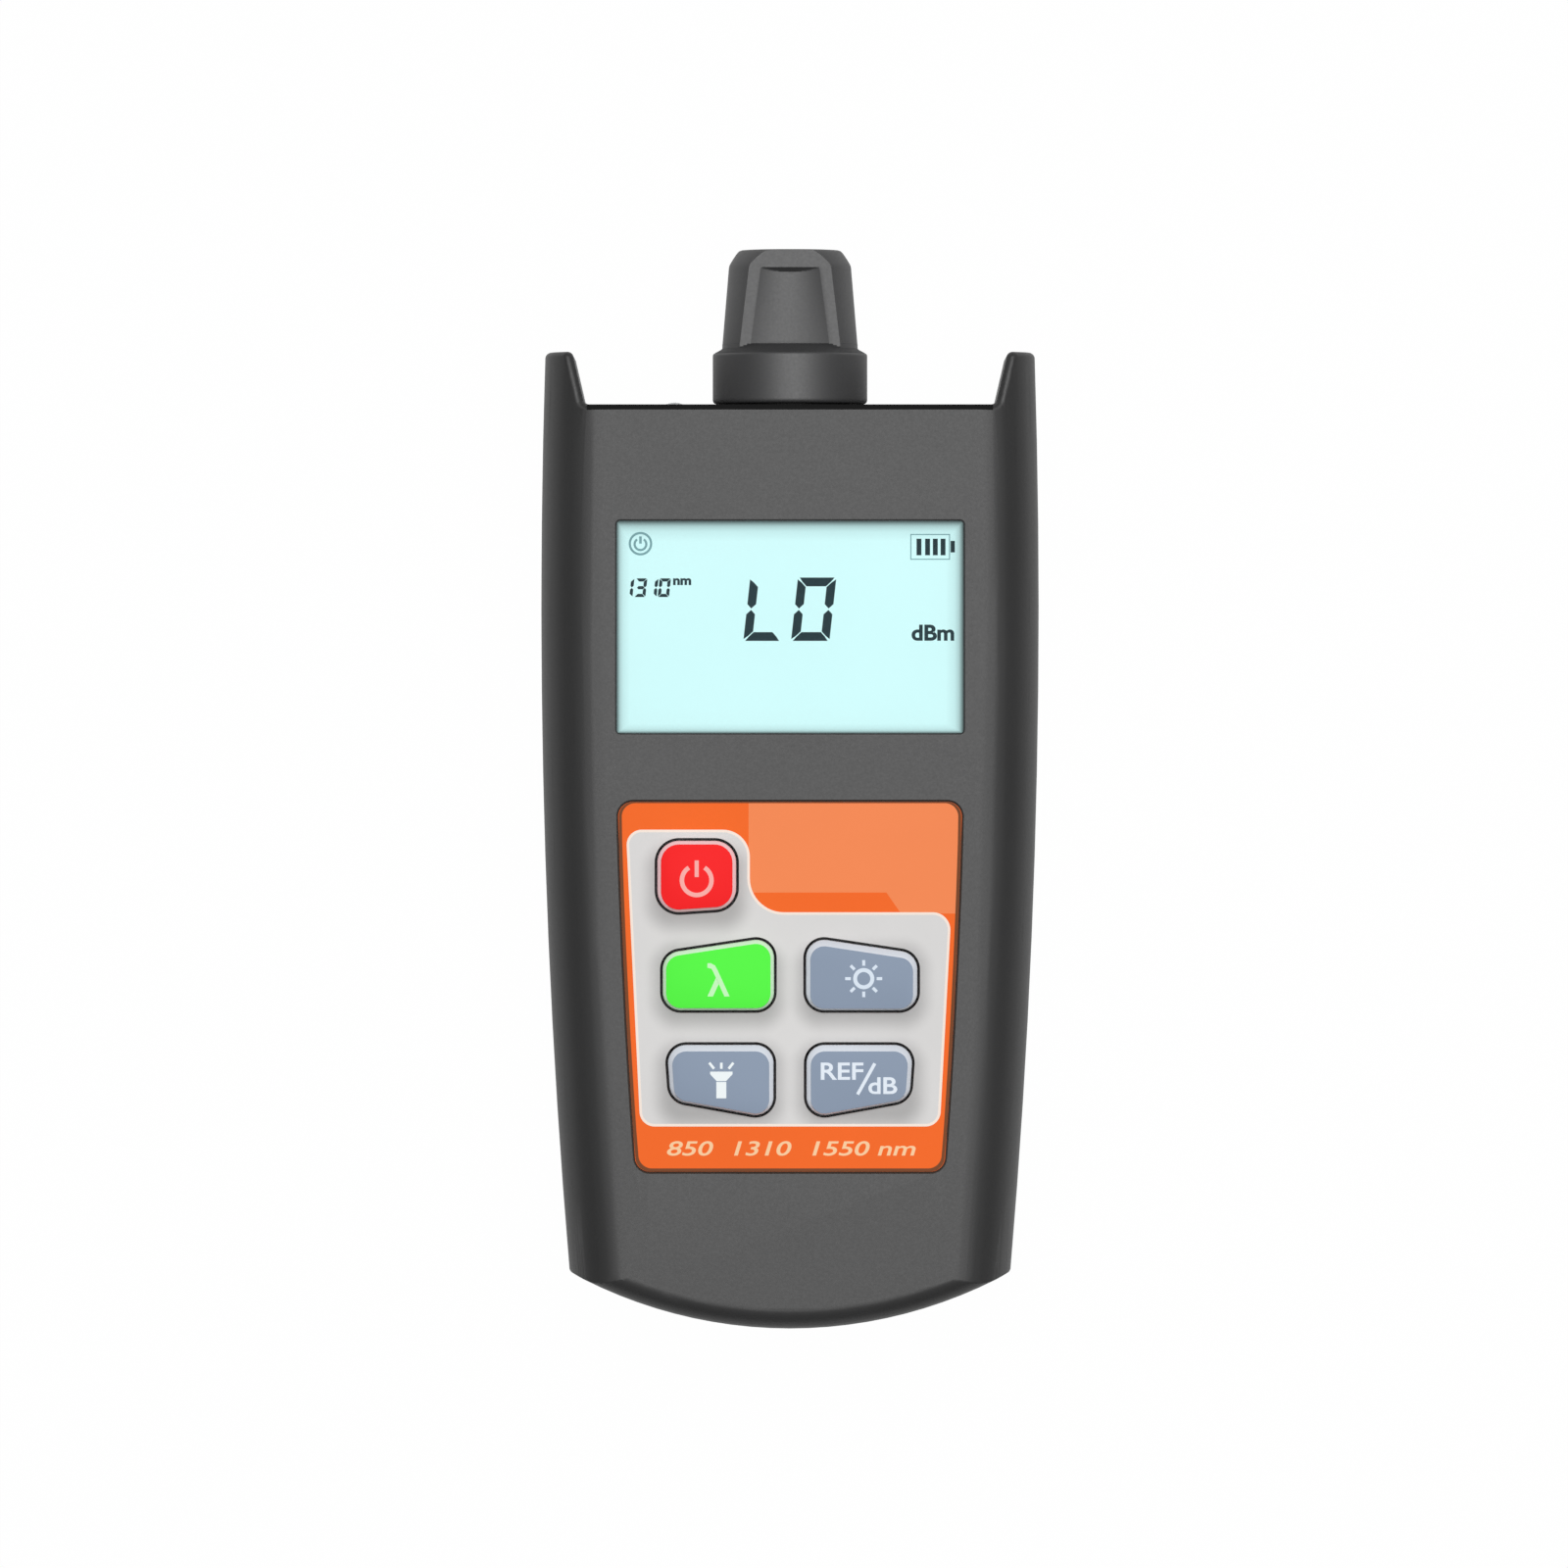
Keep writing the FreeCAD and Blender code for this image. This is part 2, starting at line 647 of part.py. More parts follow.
def bent_lead(x, start_y, back_y):
    """Flat wire that runs back from its package and turns up to the board."""
    half = lead_width / 2
    back = box(x - half, x + half, back_y - half, start_y, port_z - half, port_z + half)
    up = box(x - half, x + half, back_y - half, back_y + half, port_z - half, board_bottom)
    return [back, up]


can = rod(0, port_z, can_y - can_length, can_y, can_radius)
can_back = can_y - can_length
leads = [bent_lead(side * lead_half_pitch, can_back, can_back - can_lead_reach)
         for side in (-1, 1)]
parts["photodiode"] = joined([can] + leads[0] + leads[1])

# Torch lamp in the nose wall
dome_y = nose_y + torch_rise - torch_radius
torch_back = nose_in - torch_flange
leads = [bent_lead(torch_x + side * lead_half_pitch, torch_back, torch_back - torch_lead_reach)
         for side in (-1, 1)]
lamp = [rod(torch_x, port_z, torch_back, nose_in, torch_radius + 0.3),
        rod(torch_x, port_z, nose_in, dome_y, torch_radius),
        Part.makeSphere(torch_radius, V(torch_x, dome_y, port_z), V(0, 1, 0), 0, 90)]
parts["torch_led"] = joined(lamp + leads[0] + leads[1])

# Cells side by side, the middle one turned round
tail_contact = bay_tail + contact_thickness
nose_contact = bay_nose - contact_thickness
for index, x in enumerate((-cell_pitch, 0, cell_pitch)):
    forward = index != 1
    start = nose_contact - cell_length if forward else tail_contact
    shell_start = start if forward else start + nub_length
    tube = rod(x, cell_z, shell_start, shell_start + cell_length - nub_length, cell_radius)
    tube = tube.makeChamfer(0.4, [e for e in tube.Edges if e.BoundBox.YLength < 0.01])
    nub_start = start + cell_length - nub_length if forward else start
    nub = rod(x, cell_z, nub_start, nub_start + nub_length, nub_radius)
    parts["battery_cell_%d" % (index + 1)] = tube.fuse(nub)


def contact_plate(x0, x1, y):
    return box(x0 - contact_half, x1 + contact_half, y, y + contact_thickness,
               cell_z - contact_half, cell_z + contact_half)


def coil(x, start_y, end_y):
    """Conical spring from a contact plate to the flat end of a cell."""
    turns, steps = 3, 8
    reach = end_y - start_y
    reach -= math.copysign(coil_wire_radius, reach)
    route = []
    for step in range(turns * steps + 1):
        part, turn = step / (turns * steps), 2 * math.pi * step / steps
        radius = coil_base_radius + (coil_end_radius - coil_base_radius) * part
        route.append(V(x + radius * math.cos(turn), start_y + reach * part,
                       cell_z + radius * math.sin(turn)))
    corners = [math.pi * corner / 3 for corner in range(6)]
    section = [route[0] + V(coil_wire_radius * math.cos(a), coil_wire_radius * math.sin(a), 0)
               for a in corners + corners[:1]]
    wire = Part.makePolygon(section)
    return Part.Wire(Part.makePolygon(route)).makePipeShell([wire], True, False, 1)


tab_low = cell_z + contact_half / 2
terminal = contact_plate(-cell_pitch, -cell_pitch, nose_contact)
tab = box(-cell_pitch - tab_half, -cell_pitch + tab_half, nose_contact, bay_nose,
          tab_low, board_bottom)
parts["battery_plate_terminal"] = terminal.fuse(tab).removeSplitter()
terminal = contact_plate(cell_pitch, cell_pitch, bay_tail)
tab = box(cell_pitch - tab_half, cell_pitch + tab_half, bay_tail, tail_contact,
          tab_low, board_bottom)
parts["battery_spring_terminal"] = joined(
    [terminal, tab, coil(cell_pitch, tail_contact, tail_contact + spring_length)])
parts["battery_link_tail"] = joined(
    [contact_plate(-cell_pitch, 0, bay_tail),
     coil(-cell_pitch, tail_contact, tail_contact + spring_length)])
parts["battery_link_nose"] = joined(
    [contact_plate(0, cell_pitch, nose_contact),
     coil(0, nose_contact, nose_contact - spring_length)])

# Screws: four up through the rear shell, four up through the board
for index, (x, y) in enumerate(case_screw_places):
    head = post(x, y, case_head_sink - case_head_height, case_head_sink, case_head_radius)
    shank = post(x, y, case_head_sink, front_in - 4, case_screw_radius)
    slot = box(x - 1.3, x + 1.3, y - 0.25, y + 0.25, 0, case_head_sink - case_head_height + 0.7)
    cross = box(x - 0.25, x + 0.25, y - 1.3, y + 1.3, 0, case_head_sink - case_head_height + 0.7)
    parts["case_screw_%d" % (index + 1)] = head.fuse(shank).removeSplitter().cut(slot).cut(cross)
for index, (x, y) in enumerate(board_screw_places):
    head = post(x, y, board_bottom - board_head_height, board_bottom, board_head_radius)
    shank = post(x, y, board_bottom, front_in - 1.6, board_screw_radius)
    parts["board_screw_%d" % (index + 1)] = head.fuse(shank).removeSplitter()

# Dust cap: collar, sloping shoulder and round grip cut by two scooped flats
cap_y = nose_y + cap_gap
collar = turned([(0, cap_y), (cap_collar_radius - 0.5, cap_y), (cap_collar_radius, cap_y + 0.5),
                 (cap_collar_radius, cap_y + cap_collar_height),
                 (cap_shoulder_radius, cap_y + cap_shoulder_height),
                 (0, cap_y + cap_shoulder_height)])
grip = turned([(0, cap_y + cap_collar_height), (cap_grip_radius, cap_y + cap_collar_height),
               (cap_grip_end_radius, cap_y + cap_grip_end),
               (cap_top_radius, cap_y + cap_height), (0, cap_y + cap_height)])
for side in (-1, 1):
    # The flat rises from its foot over the shoulder to the top of the collar
    flat = Part.Face(Part.makePolygon([
        V(-10, cap_y + cap_shoulder_height, cap_flat), V(-10, cap_y + cap_height + 1, cap_flat),
        V(-10, cap_y + cap_height + 1, cap_flat + 10),
        V(-10, cap_y + cap_collar_height, cap_collar_radius),
        V(-10, cap_y + cap_shoulder_height, cap_flat)])).extrude(V(20, 0, 0))
    # The scoop is a wedge-shaped pocket with a curved floor and a ramp at its far end
    scoop_low = cap_y + cap_shoulder_height
    scoop_high = cap_y + scoop_end
    wedge = prism([(-scoop_base_half, scoop_low), (scoop_base_half, scoop_low),
                   (scoop_end_half, scoop_high), (-scoop_end_half, scoop_high)],
                  cap_flat - scoop_depth, cap_flat + 1)
    sag = (scoop_base_half**2 + scoop_depth**2) / (2 * scoop_depth)
    floor = rod(0, cap_flat - scoop_depth + sag, scoop_low - 1, scoop_high + 1, sag)
    ramp = Part.Face(Part.makePolygon([
        V(-10, scoop_low, cap_flat + 1), V(-10, scoop_low, cap_flat - scoop_depth),
        V(-10, scoop_high - scoop_ramp, cap_flat - scoop_depth), V(-10, scoop_high, cap_flat),
        V(-10, scoop_high, cap_flat + 1), V(-10, scoop_low, cap_flat + 1)])).extrude(V(20, 0, 0))
    scoop = wedge.common(floor).common(ramp)
    for tool in (flat, scoop):
        if side < 0:
            tool = tool.mirror(V(0, 0, 0), V(0, 0, 1))
        tool.translate(V(0, 0, port_z))
        grip = grip.cut(tool)
cap = collar.fuse(grip)
cap = cap.cut(rod(0, port_z, cap_y - 1, cap_y + cap_ring_depth,
                  barrel_flange_radius + port_play))
cap = cap.cut(rod(0, port_z, cap_y, cap_y + cap_bore_depth, cap_nose_bore))
parts["dust_cap"] = cap.removeSplitter()

os.makedirs("parts", exist_ok=True)
for name, shape in parts.items():
    shape.exportStep("parts/%s.step" % name)
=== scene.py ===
import math

import bmesh
import bpy
import numpy as np
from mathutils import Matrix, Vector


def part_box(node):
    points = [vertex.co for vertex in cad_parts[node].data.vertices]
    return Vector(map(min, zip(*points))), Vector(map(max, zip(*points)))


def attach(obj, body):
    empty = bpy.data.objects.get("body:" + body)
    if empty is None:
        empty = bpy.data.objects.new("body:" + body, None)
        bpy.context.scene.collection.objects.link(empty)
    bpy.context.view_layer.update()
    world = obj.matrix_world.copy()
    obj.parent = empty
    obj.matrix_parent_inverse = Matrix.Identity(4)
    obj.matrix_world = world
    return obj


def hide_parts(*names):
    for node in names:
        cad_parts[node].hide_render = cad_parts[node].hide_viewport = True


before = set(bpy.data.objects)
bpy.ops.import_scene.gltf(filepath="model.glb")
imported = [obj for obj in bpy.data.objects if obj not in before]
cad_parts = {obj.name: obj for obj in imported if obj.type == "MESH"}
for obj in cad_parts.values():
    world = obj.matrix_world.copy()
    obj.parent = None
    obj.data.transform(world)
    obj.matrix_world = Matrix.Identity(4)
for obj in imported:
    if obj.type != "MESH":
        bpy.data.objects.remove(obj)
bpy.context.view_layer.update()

MM = 0.001
scene = bpy.context.scene
scene.view_settings.view_transform = "Standard"

# ---------------------------------------------------------------- table, lamp and camera
# The meter lies on its back on a white table. A broad soft lamp hangs almost overhead, the
# room round it is dim, and the camera looks straight down through a long lens.
lens_mm, film_mm = 400.0, 36.0
view_width = 182.6 * MM
view_centre = (-0.7 * MM, 0.46 * MM)
sharp_height = 24.0 * MM
lamp_place, lamp_side, lamp_watts = (0.10, 0.26, 1.30), 0.95, 16.9

camera = bpy.data.objects.new("camera", bpy.data.cameras.new("camera"))
camera.data.lens, camera.data.sensor_width = lens_mm, film_mm
camera.location = (*view_centre, view_width * lens_mm / film_mm + sharp_height)
scene.collection.objects.link(camera)
scene.camera = camera

lamp = bpy.data.objects.new("overhead_lamp", bpy.data.lights.new("overhead_lamp", "AREA"))
lamp.data.size, lamp.data.energy = lamp_side, lamp_watts
lamp.location = lamp_place
lamp.rotation_euler = (math.atan2(-lamp_place[1], lamp_place[2]),
                       math.atan2(lamp_place[0], lamp_place[2]), 0)
lamp.visible_camera = False
scene.collection.objects.link(lamp)

room = bpy.data.worlds.new("dim_room")
room.use_nodes = True
room.node_tree.nodes["Background"].inputs["Color"].default_value = (0.12, 0.12, 0.124, 1)
scene.world = room

# The top lies a hair below the meter's back, so that the two faces don't share one plane
table_half, table_top = 30.0, -0.00005
table_mesh = bpy.data.meshes.new("table")
table_mesh.from_pydata([(x * table_half, y * table_half, table_top)
                        for x, y in ((-1, -1), (1, -1), (1, 1), (-1, 1))], [], [(0, 1, 2, 3)])
table = bpy.data.objects.new("table", table_mesh)
scene.collection.objects.link(table)


def link(tree, out_node, out_name, in_node, in_name):
    tree.links.new(out_node.outputs[out_name], in_node.inputs[in_name])


def started(name):
    """New material, its node tree and the shader in it."""
    made = bpy.data.materials.new(name)
    made.use_nodes = True
    return made, made.node_tree, made.node_tree.nodes["Principled BSDF"]


def worked(tree, kind, operation, *feeds, second=None):
    """Maths node that does one operation on the outputs fed to it in order, each given as a
    node and an output; a plain second value may be set in place of a feed."""
    node = tree.nodes.new("ShaderNode" + kind)
    node.operation = operation
    for place, (source, output) in enumerate(feeds):
        link(tree, source, output, node, place)
    if second is not None:
        node.inputs[1].default_value = second
    return node


def raised(tree, pattern, strength, depth, skin):
    """Bump: the pattern's grey lifts the skin by at most the depth."""
    relief = tree.nodes.new("ShaderNodeBump")
    relief.inputs["Strength"].default_value = strength
    relief.inputs["Distance"].default_value = depth
    link(tree, pattern, "Fac", relief, "Height")
    link(tree, relief, "Normal", skin, "Normal")


white_card, tree, matte = started("white_card")
matte.inputs["Base Color"].default_value = (0.62, 0.62, 0.62, 1)
matte.inputs["Roughness"].default_value = 0.9
matte.inputs["Specular IOR Level"].default_value = 0.1
fibre = tree.nodes.new("ShaderNodeTexNoise")
fibre.inputs["Scale"].default_value = 900
raised(tree, fibre, strength=0.05, depth=0.1 * MM, skin=matte)
# Seen by the camera, in gloss or through clear parts, the card is plain white with a trace
# of its own shade. To all other light it is matte.
white_share = 0.99
white = tree.nodes.new("ShaderNodeEmission")
white.inputs["Color"].default_value = (1, 1, 1, 1)
path = tree.nodes.new("ShaderNodeLightPath")
seen = worked(tree, "Math", "MAXIMUM", (path, "Is Camera Ray"), (path, "Is Glossy Ray"))
through = worked(tree, "Math", "MAXIMUM", (seen, "Value"), (path, "Is Transmission Ray"))
share = worked(tree, "Math", "MULTIPLY", (through, "Value"), second=white_share)
mixed = tree.nodes.new("ShaderNodeMixShader")
link(tree, share, "Value", mixed, "Fac")
link(tree, matte, "BSDF", mixed, 1)
link(tree, white, "Emission", mixed, 2)
link(tree, mixed, "Shader", tree.nodes["Material Output"], "Surface")
table_mesh.materials.append(white_card)

# ---------------------------------------------------------------- case shells
# Two halves moulded in charcoal ABS with a fine spark-eroded grain, screwed together from
# the back. Long soft roundings run down both sides of the front.
charcoal = (0.025, 0.025, 0.025)
case_grain, case_relief = 0.30 * MM, 0.010 * MM


def patterned(tree, kind, scale):
    """Pattern of a kind and scale, laid on the piece's own coordinates."""
    place = tree.nodes.new("ShaderNodeTexCoord")
    pattern = tree.nodes.new("ShaderNodeTex" + kind)
    pattern.inputs["Scale"].default_value = scale
    link(tree, place, "Object", pattern, "Vector")
    return pattern


def graded(tree, source, output, stops):
    """Colours along an output: each stop is a place between 0 and 1 and the colour there."""
    ramp = tree.nodes.new("ShaderNodeValToRGB")
    elements = ramp.color_ramp.elements
    while len(elements) < len(stops):
        elements.new(0.5)
    for element, (spot, colour) in zip(elements, stops):
        element.position, element.color = spot, colour
    link(tree, source, output, ramp, "Fac")
    return ramp


def moulded(name, colour, roughness, grain, depth, gloss=0.5, drift=0.06, metal=0.0):
    """Moulded or printed skin: slow noise drifts the colour by a few percent, and fine noise
    of the grain's size raises the surface by its depth and varies the roughness."""
    cloud_scale, cloud_low, cloud_high = 60, 0.3, 0.7
    uneven, relief_strength = 0.06, 0.6
    made, tree, skin = started(name)
    skin.inputs["Specular IOR Level"].default_value = gloss
    skin.inputs["Metallic"].default_value = metal
    cloud = patterned(tree, "Noise", cloud_scale)
    cloud.inputs["Detail"].default_value = 3
    tint = graded(tree, cloud, "Fac", [
        (edge, (*[min(1, c * tone) for c in colour], 1))
        for edge, tone in ((cloud_low, 1 - drift), (cloud_high, 1 + drift))])
    link(tree, tint, "Color", skin, "Base Color")
    fine = patterned(tree, "Noise", 1 / grain)
    fine.inputs["Detail"].default_value = 4
    sheen = tree.nodes.new("ShaderNodeMapRange")
    sheen.inputs["To Min"].default_value = roughness - uneven
    sheen.inputs["To Max"].default_value = roughness + uneven
    link(tree, fine, "Fac", sheen, "Value")
    link(tree, sheen, "Result", skin, "Roughness")
    raised(tree, fine, relief_strength, depth, skin)
    return made


def smoothed(node, body, material, angle=32):
    """Same surface as the solid: its loose triangles are merged at equal corners, flat ones
    joined to whole faces, and shaded smooth across edges flatter than the angle."""
    same_corner, flat_angle = 2e-7, math.radians(0.25)
    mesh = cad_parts[node].data.copy()
    mesh.name = node + "_skin"
    merge = bmesh.new()
    merge.from_mesh(mesh)
    bmesh.ops.remove_doubles(merge, verts=merge.verts, dist=same_corner)
    bmesh.ops.dissolve_limit(merge, angle_limit=flat_angle, verts=merge.verts, edges=merge.edges)
    merge.to_mesh(mesh)
    merge.free()
    mesh.materials.clear()
    mesh.materials.append(material)
    mesh.shade_smooth()
    mesh.set_sharp_from_angle(angle=math.radians(angle))
    skin = bpy.data.objects.new(node + "_skin", mesh)
    scene.collection.objects.link(skin)
    weigh = skin.modifiers.new("weighted", "WEIGHTED_NORMAL")
    weigh.keep_sharp = True
    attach(skin, body)
    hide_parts(node)


case_plastic = moulded("charcoal_abs", charcoal, 0.50, case_grain, case_relief, gloss=0.56)
smoothed("front_shell", "housing", case_plastic)
smoothed("rear_shell", "housing", case_plastic)

# ---------------------------------------------------------------- battery door
# A flat moulded door in the same plastic, with cross grooves for the thumb. It slides out
# towards the tail on two rails.
smoothed("battery_door", "door", case_plastic)

# ---------------------------------------------------------------- screws
# Zinc-plated steel screws with crossed heads: four up through the back, four up through the
# board.
zinc = moulded("zinc_plated_steel", (0.50, 0.51, 0.53), 0.32, 0.15 * MM, 0.003 * MM, metal=1.0)
for number in range(1, 5):
    smoothed("case_screw_%d" % number, "housing", zinc)
    smoothed("board_screw_%d" % number, "housing", zinc)

# ---------------------------------------------------------------- cells and contacts
# Three slim cells in printed sleeves, the middle one turned round, between nickel-plated
# spring steel plates and conical springs.
sleeve_dark, sleeve_copper = (0.022, 0.024, 0.028, 1), (0.55, 0.24, 0.10, 1)
bare_can, printed_line = (0.60, 0.59, 0.57, 1), (0.75, 0.73, 0.70, 1)
bare_nose, copper_band, line_width, bare_foot = 1.35 * MM, 9.5 * MM, 0.7 * MM, 0.4 * MM


def sleeve(name, nose_up):
    """Printed sleeve: the distance along y from the cell's positive end picks copper for the
    band, a pale line and near-black for the rest; bare metal shows beyond the sleeve."""
    made = moulded(name, sleeve_dark[:3], 0.30, 0.4 * MM, 0.002 * MM, drift=0.04)
    tree = made.node_tree
    low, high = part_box("battery_cell_1" if nose_up else "battery_cell_2")
    place = tree.nodes.new("ShaderNodeTexCoord")
    split = tree.nodes.new("ShaderNodeSeparateXYZ")
    link(tree, place, "Object", split, "Vector")
    span = tree.nodes.new("ShaderNodeMapRange")
    span.inputs["From Min"].default_value = high.y if nose_up else low.y
    span.inputs["From Max"].default_value = low.y if nose_up else high.y
    link(tree, split, "Y", span, "Value")
    length = high.y - low.y
    print_run = graded(tree, span, "Result", [
        (0.0, bare_can), (bare_nose / length, sleeve_copper), (copper_band / length, printed_line),
        ((copper_band + line_width) / length, sleeve_dark), (1 - bare_foot / length, bare_can)])
    print_run.color_ramp.interpolation = "CONSTANT"
    link(tree, print_run, "Color", tree.nodes["Principled BSDF"], "Base Color")
    return made


forward_sleeve, turned_sleeve = sleeve("cell_sleeve", True), sleeve("turned_cell_sleeve", False)
for number in (1, 2, 3):
    smoothed("battery_cell_%d" % number, "housing",
             turned_sleeve if number == 2 else forward_sleeve)


def finish_node(node, material):
    """The solid of this node is right as it is and only takes a new finish."""
    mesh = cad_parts[node].data
    mesh.materials.clear()
    mesh.materials.append(material)


nickel_spring = moulded("nickel_spring_steel", (0.62, 0.60, 0.56), 0.28, 0.3 * MM, 0.002 * MM,
                        metal=1.0)
for node in ("battery_plate_terminal", "battery_spring_terminal", "battery_link_tail",
             "battery_link_nose"):
    finish_node(node, nickel_spring)

# ---------------------------------------------------------------- main board
# Glass-epoxy board under green solder mask with faint copper runs, screwed to the front
# shell; black epoxy packages and a plated crystal can are soldered below it.
mask_green = (0.012, 0.085, 0.040)
solder_mask = moulded("green_solder_mask", mask_green, 0.30, 0.8 * MM, 0.004 * MM, drift=0.1)
tree = solder_mask.node_tree
runs = patterned(tree, "Brick", scale=260)
runs.inputs["Mortar Size"].default_value = 0.03
runs.inputs["Color1"].default_value = (*mask_green, 1)
runs.inputs["Color2"].default_value = (0.014, 0.095, 0.046, 1)
runs.inputs["Mortar"].default_value = (0.030, 0.150, 0.070, 1)
link(tree, runs, "Color", tree.nodes["Principled BSDF"], "Base Color")
finish_node("main_board", solder_mask)
black_epoxy = moulded("black_epoxy", (0.018, 0.018, 0.019), 0.45, 0.12 * MM, 0.004 * MM)
finish_node("processor_chip", black_epoxy)
finish_node("converter_chip", black_epoxy)
finish_node("clock_crystal", nickel_spring)

# ---------------------------------------------------------------- screen
# A backlit liquid crystal glass in a white frame over a striped rubber contact strip. The
# milky light guide under it makes it glow pale cyan.
milky = moulded("milky_light_guide", (0.80, 0.82, 0.80), 0.5, 0.4 * MM, 0.004 * MM)
finish_node("lcd_backlight", milky)
finish_node("lcd_frame", moulded("white_frame_plastic", (0.70, 0.71, 0.70), 0.5, 0.3 * MM,
                                 0.006 * MM))
zebra = moulded("striped_contact_rubber", (0.50, 0.28, 0.30), 0.6, 0.2 * MM, 0.004 * MM)
tree = zebra.node_tree
tones = graded(tree, patterned(tree, "Wave", scale=1600), "Fac",
               [(0, (0.02, 0.02, 0.02, 1)), (1, (0.55, 0.32, 0.34, 1))])
link(tree, tones, "Color", tree.nodes["Principled BSDF"], "Base Color")
finish_node("zebra_strip", zebra)

glow, tree, pane = started("backlit_glass")
pane.inputs["Roughness"].default_value = 0.5
pane.inputs["Specular IOR Level"].default_value = 0.1
pane.inputs["Emission Strength"].default_value = 0.66
cloud = patterned(tree, "Noise", scale=45)
# Painted shade of the recess walls: the glow and colour of the glass dim towards the screen's rim,
# furthest on the nose and right sides
screen_left, screen_right, screen_tail, screen_nose = -20.15, 20.15, 6.375, 31.025
spot = tree.nodes.new("ShaderNodeSeparateXYZ")
link(tree, tree.nodes.new("ShaderNodeTexCoord"), "Object", spot, "Vector")
inner = None
for axis, edge, reach in (("X", screen_left, 1.5), ("X", screen_right, -2.0),
                          ("Y", screen_tail, 1.1), ("Y", screen_nose, -2.3)):
    inward = tree.nodes.new("ShaderNodeMapRange")
    inward.inputs["From Min"].default_value = edge * MM
    inward.inputs["From Max"].default_value = (edge + reach) * MM
    link(tree, spot, axis, inward, "Value")
    inner = worked(tree, "Math", "MINIMUM", (inner, 0), (inward, 0)) if inner else inward
rim_shade_levels = ((0.0, 0.14), (0.12, 0.42), (0.25, 0.70), (0.5, 0.88), (1.0, 1.0))
painted_rim_shade = graded(tree, inner, "Value",
                 [(part, (level, level, level, 1)) for part, level in rim_shade_levels])
# The painted rim shade darkens both the glow and the colour of the glass
for target, low_tone, high_tone in (("Emission Color", (0.71, 0.97, 0.97, 1), (0.75, 1, 1, 1)),
                                    ("Base Color", (0.19, 0.29, 0.29, 1), (0.21, 0.31, 0.31, 1))):
    tint = graded(tree, cloud, "Fac", [(0, low_tone), (1, high_tone)])
    rim_shaded_tone = worked(tree, "VectorMath", "MULTIPLY", (tint, "Color"), (painted_rim_shade, "Color"))
    link(tree, rim_shaded_tone, "Vector", pane, target)
finish_node("lcd_panel", glow)

# ---------------------------------------------------------------- screen digits and signs
# Dark liquid crystal segments just above the glass: two big digits, the wavelength, the unit
# and the battery's bars. The sign for switching off and the battery's outline are fainter.


def turned_out(mesh):
    """Merges the mesh's equal corners and turns its faces outward."""
    heal = bmesh.new()
    heal.from_mesh(mesh)
    bmesh.ops.remove_doubles(heal, verts=heal.verts, dist=1e-7)
    bmesh.ops.recalc_face_normals(heal, faces=heal.faces)
    heal.to_mesh(mesh)
    heal.free()


def settle(name, flats, height, material, body):
    """Flat curves are made one mesh at their height, doubles merged and faces outward."""
    gathered = bmesh.new()
    for flat in flats:
        holder = bpy.data.objects.new(name + "_curve", flat)
        scene.collection.objects.link(holder)
        bpy.context.view_layer.update()
        part = bpy.data.meshes.new_from_object(
            holder.evaluated_get(bpy.context.evaluated_depsgraph_get()))
        bpy.data.objects.remove(holder)
        turned_out(part)
        gathered.from_mesh(part)
    bmesh.ops.translate(gathered, verts=gathered.verts, vec=(0, 0, height * MM))
    mesh = bpy.data.meshes.new(name)
    gathered.to_mesh(mesh)
    gathered.free()
    mesh.materials.append(material)
    made = bpy.data.objects.new(name, mesh)
    scene.collection.objects.link(made)
    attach(made, body)
    return made


def drawn(name, shapes, low, high, material, body, slot):
    """Thin print as thick as from low to high. Each shape is a list of closed outlines in
    plan: its area is filled, and an outline inside another leaves a hole."""
    flats = []
    for outlines in shapes:
        flat = bpy.data.curves.new(name, "CURVE")
        flat.dimensions, flat.fill_mode = "2D", "BOTH"
        flat.extrude = (high - low) / 2 * MM
        for outline in outlines:
            outline = np.asarray(outline, float)
            run = flat.splines.new("POLY")
            run.points.add(len(outline) - 1)
            run.points.foreach_set("co", np.column_stack(
                [outline * MM, np.zeros(len(outline)), np.ones(len(outline))]).ravel())
            run.use_cyclic_u = True
        flats.append(flat)
    return settle(name, flats, (low + high) / 2, material, body)


def lettered(name, words, x, y, width, height, low, high, material, body, slot, slant=0.0,
             weight=0.0):
    """Letters whose mesh is scaled so that they fill the box from x, y by width by height."""
    first_size = 1.5 * height
    text = bpy.data.curves.new(name, "FONT")
    text.body, text.size, text.shear, text.offset = words, first_size * MM, slant, weight * MM
    text.extrude = (high - low) / 2 * MM
    made = settle(name, [text], (low + high) / 2, material, body)
    spots = np.empty(len(made.data.vertices) * 3)
    made.data.vertices.foreach_get("co", spots)
    spots = spots.reshape(-1, 3)
    corner, far = spots.min(0), spots.max(0)
    box = np.array([width, height]) * MM
    spots[:, :2] = (spots[:, :2] - corner[:2]) / (far - corner)[:2] * box + np.array([x, y]) * MM
    made.data.vertices.foreach_set("co", spots.ravel())
    made.data.update()
    return made


def band(line, width):
    """Outline of a stroke: the open line shifted half the width to either side along its own
    normal, out along one side and back along the other."""
    line = np.asarray(line, float)
    along = np.gradient(line, axis=0)
    along /= np.linalg.norm(along, axis=1)[:, None]
    side = np.column_stack([along[:, 1], -along[:, 0]]) * width / 2
    return np.vstack([line + side, (line - side)[::-1]])


def ring_arc(x, y, radius, start, end, steps=40):
    """Points on a circle about x, y, evenly from the start angle to the end, in degrees."""
    angle = np.radians(np.linspace(start, end, steps))
    return np.column_stack([x + radius * np.cos(angle), y + radius * np.sin(angle)])


def ring(x, y, radius, width):
    """Two full circles half the width outside and inside the radius."""
    return [ring_arc(x, y, radius + width / 2, 0, 360, 49)[:-1],
            ring_arc(x, y, radius - width / 2, 0, 360, 49)[:-1]]


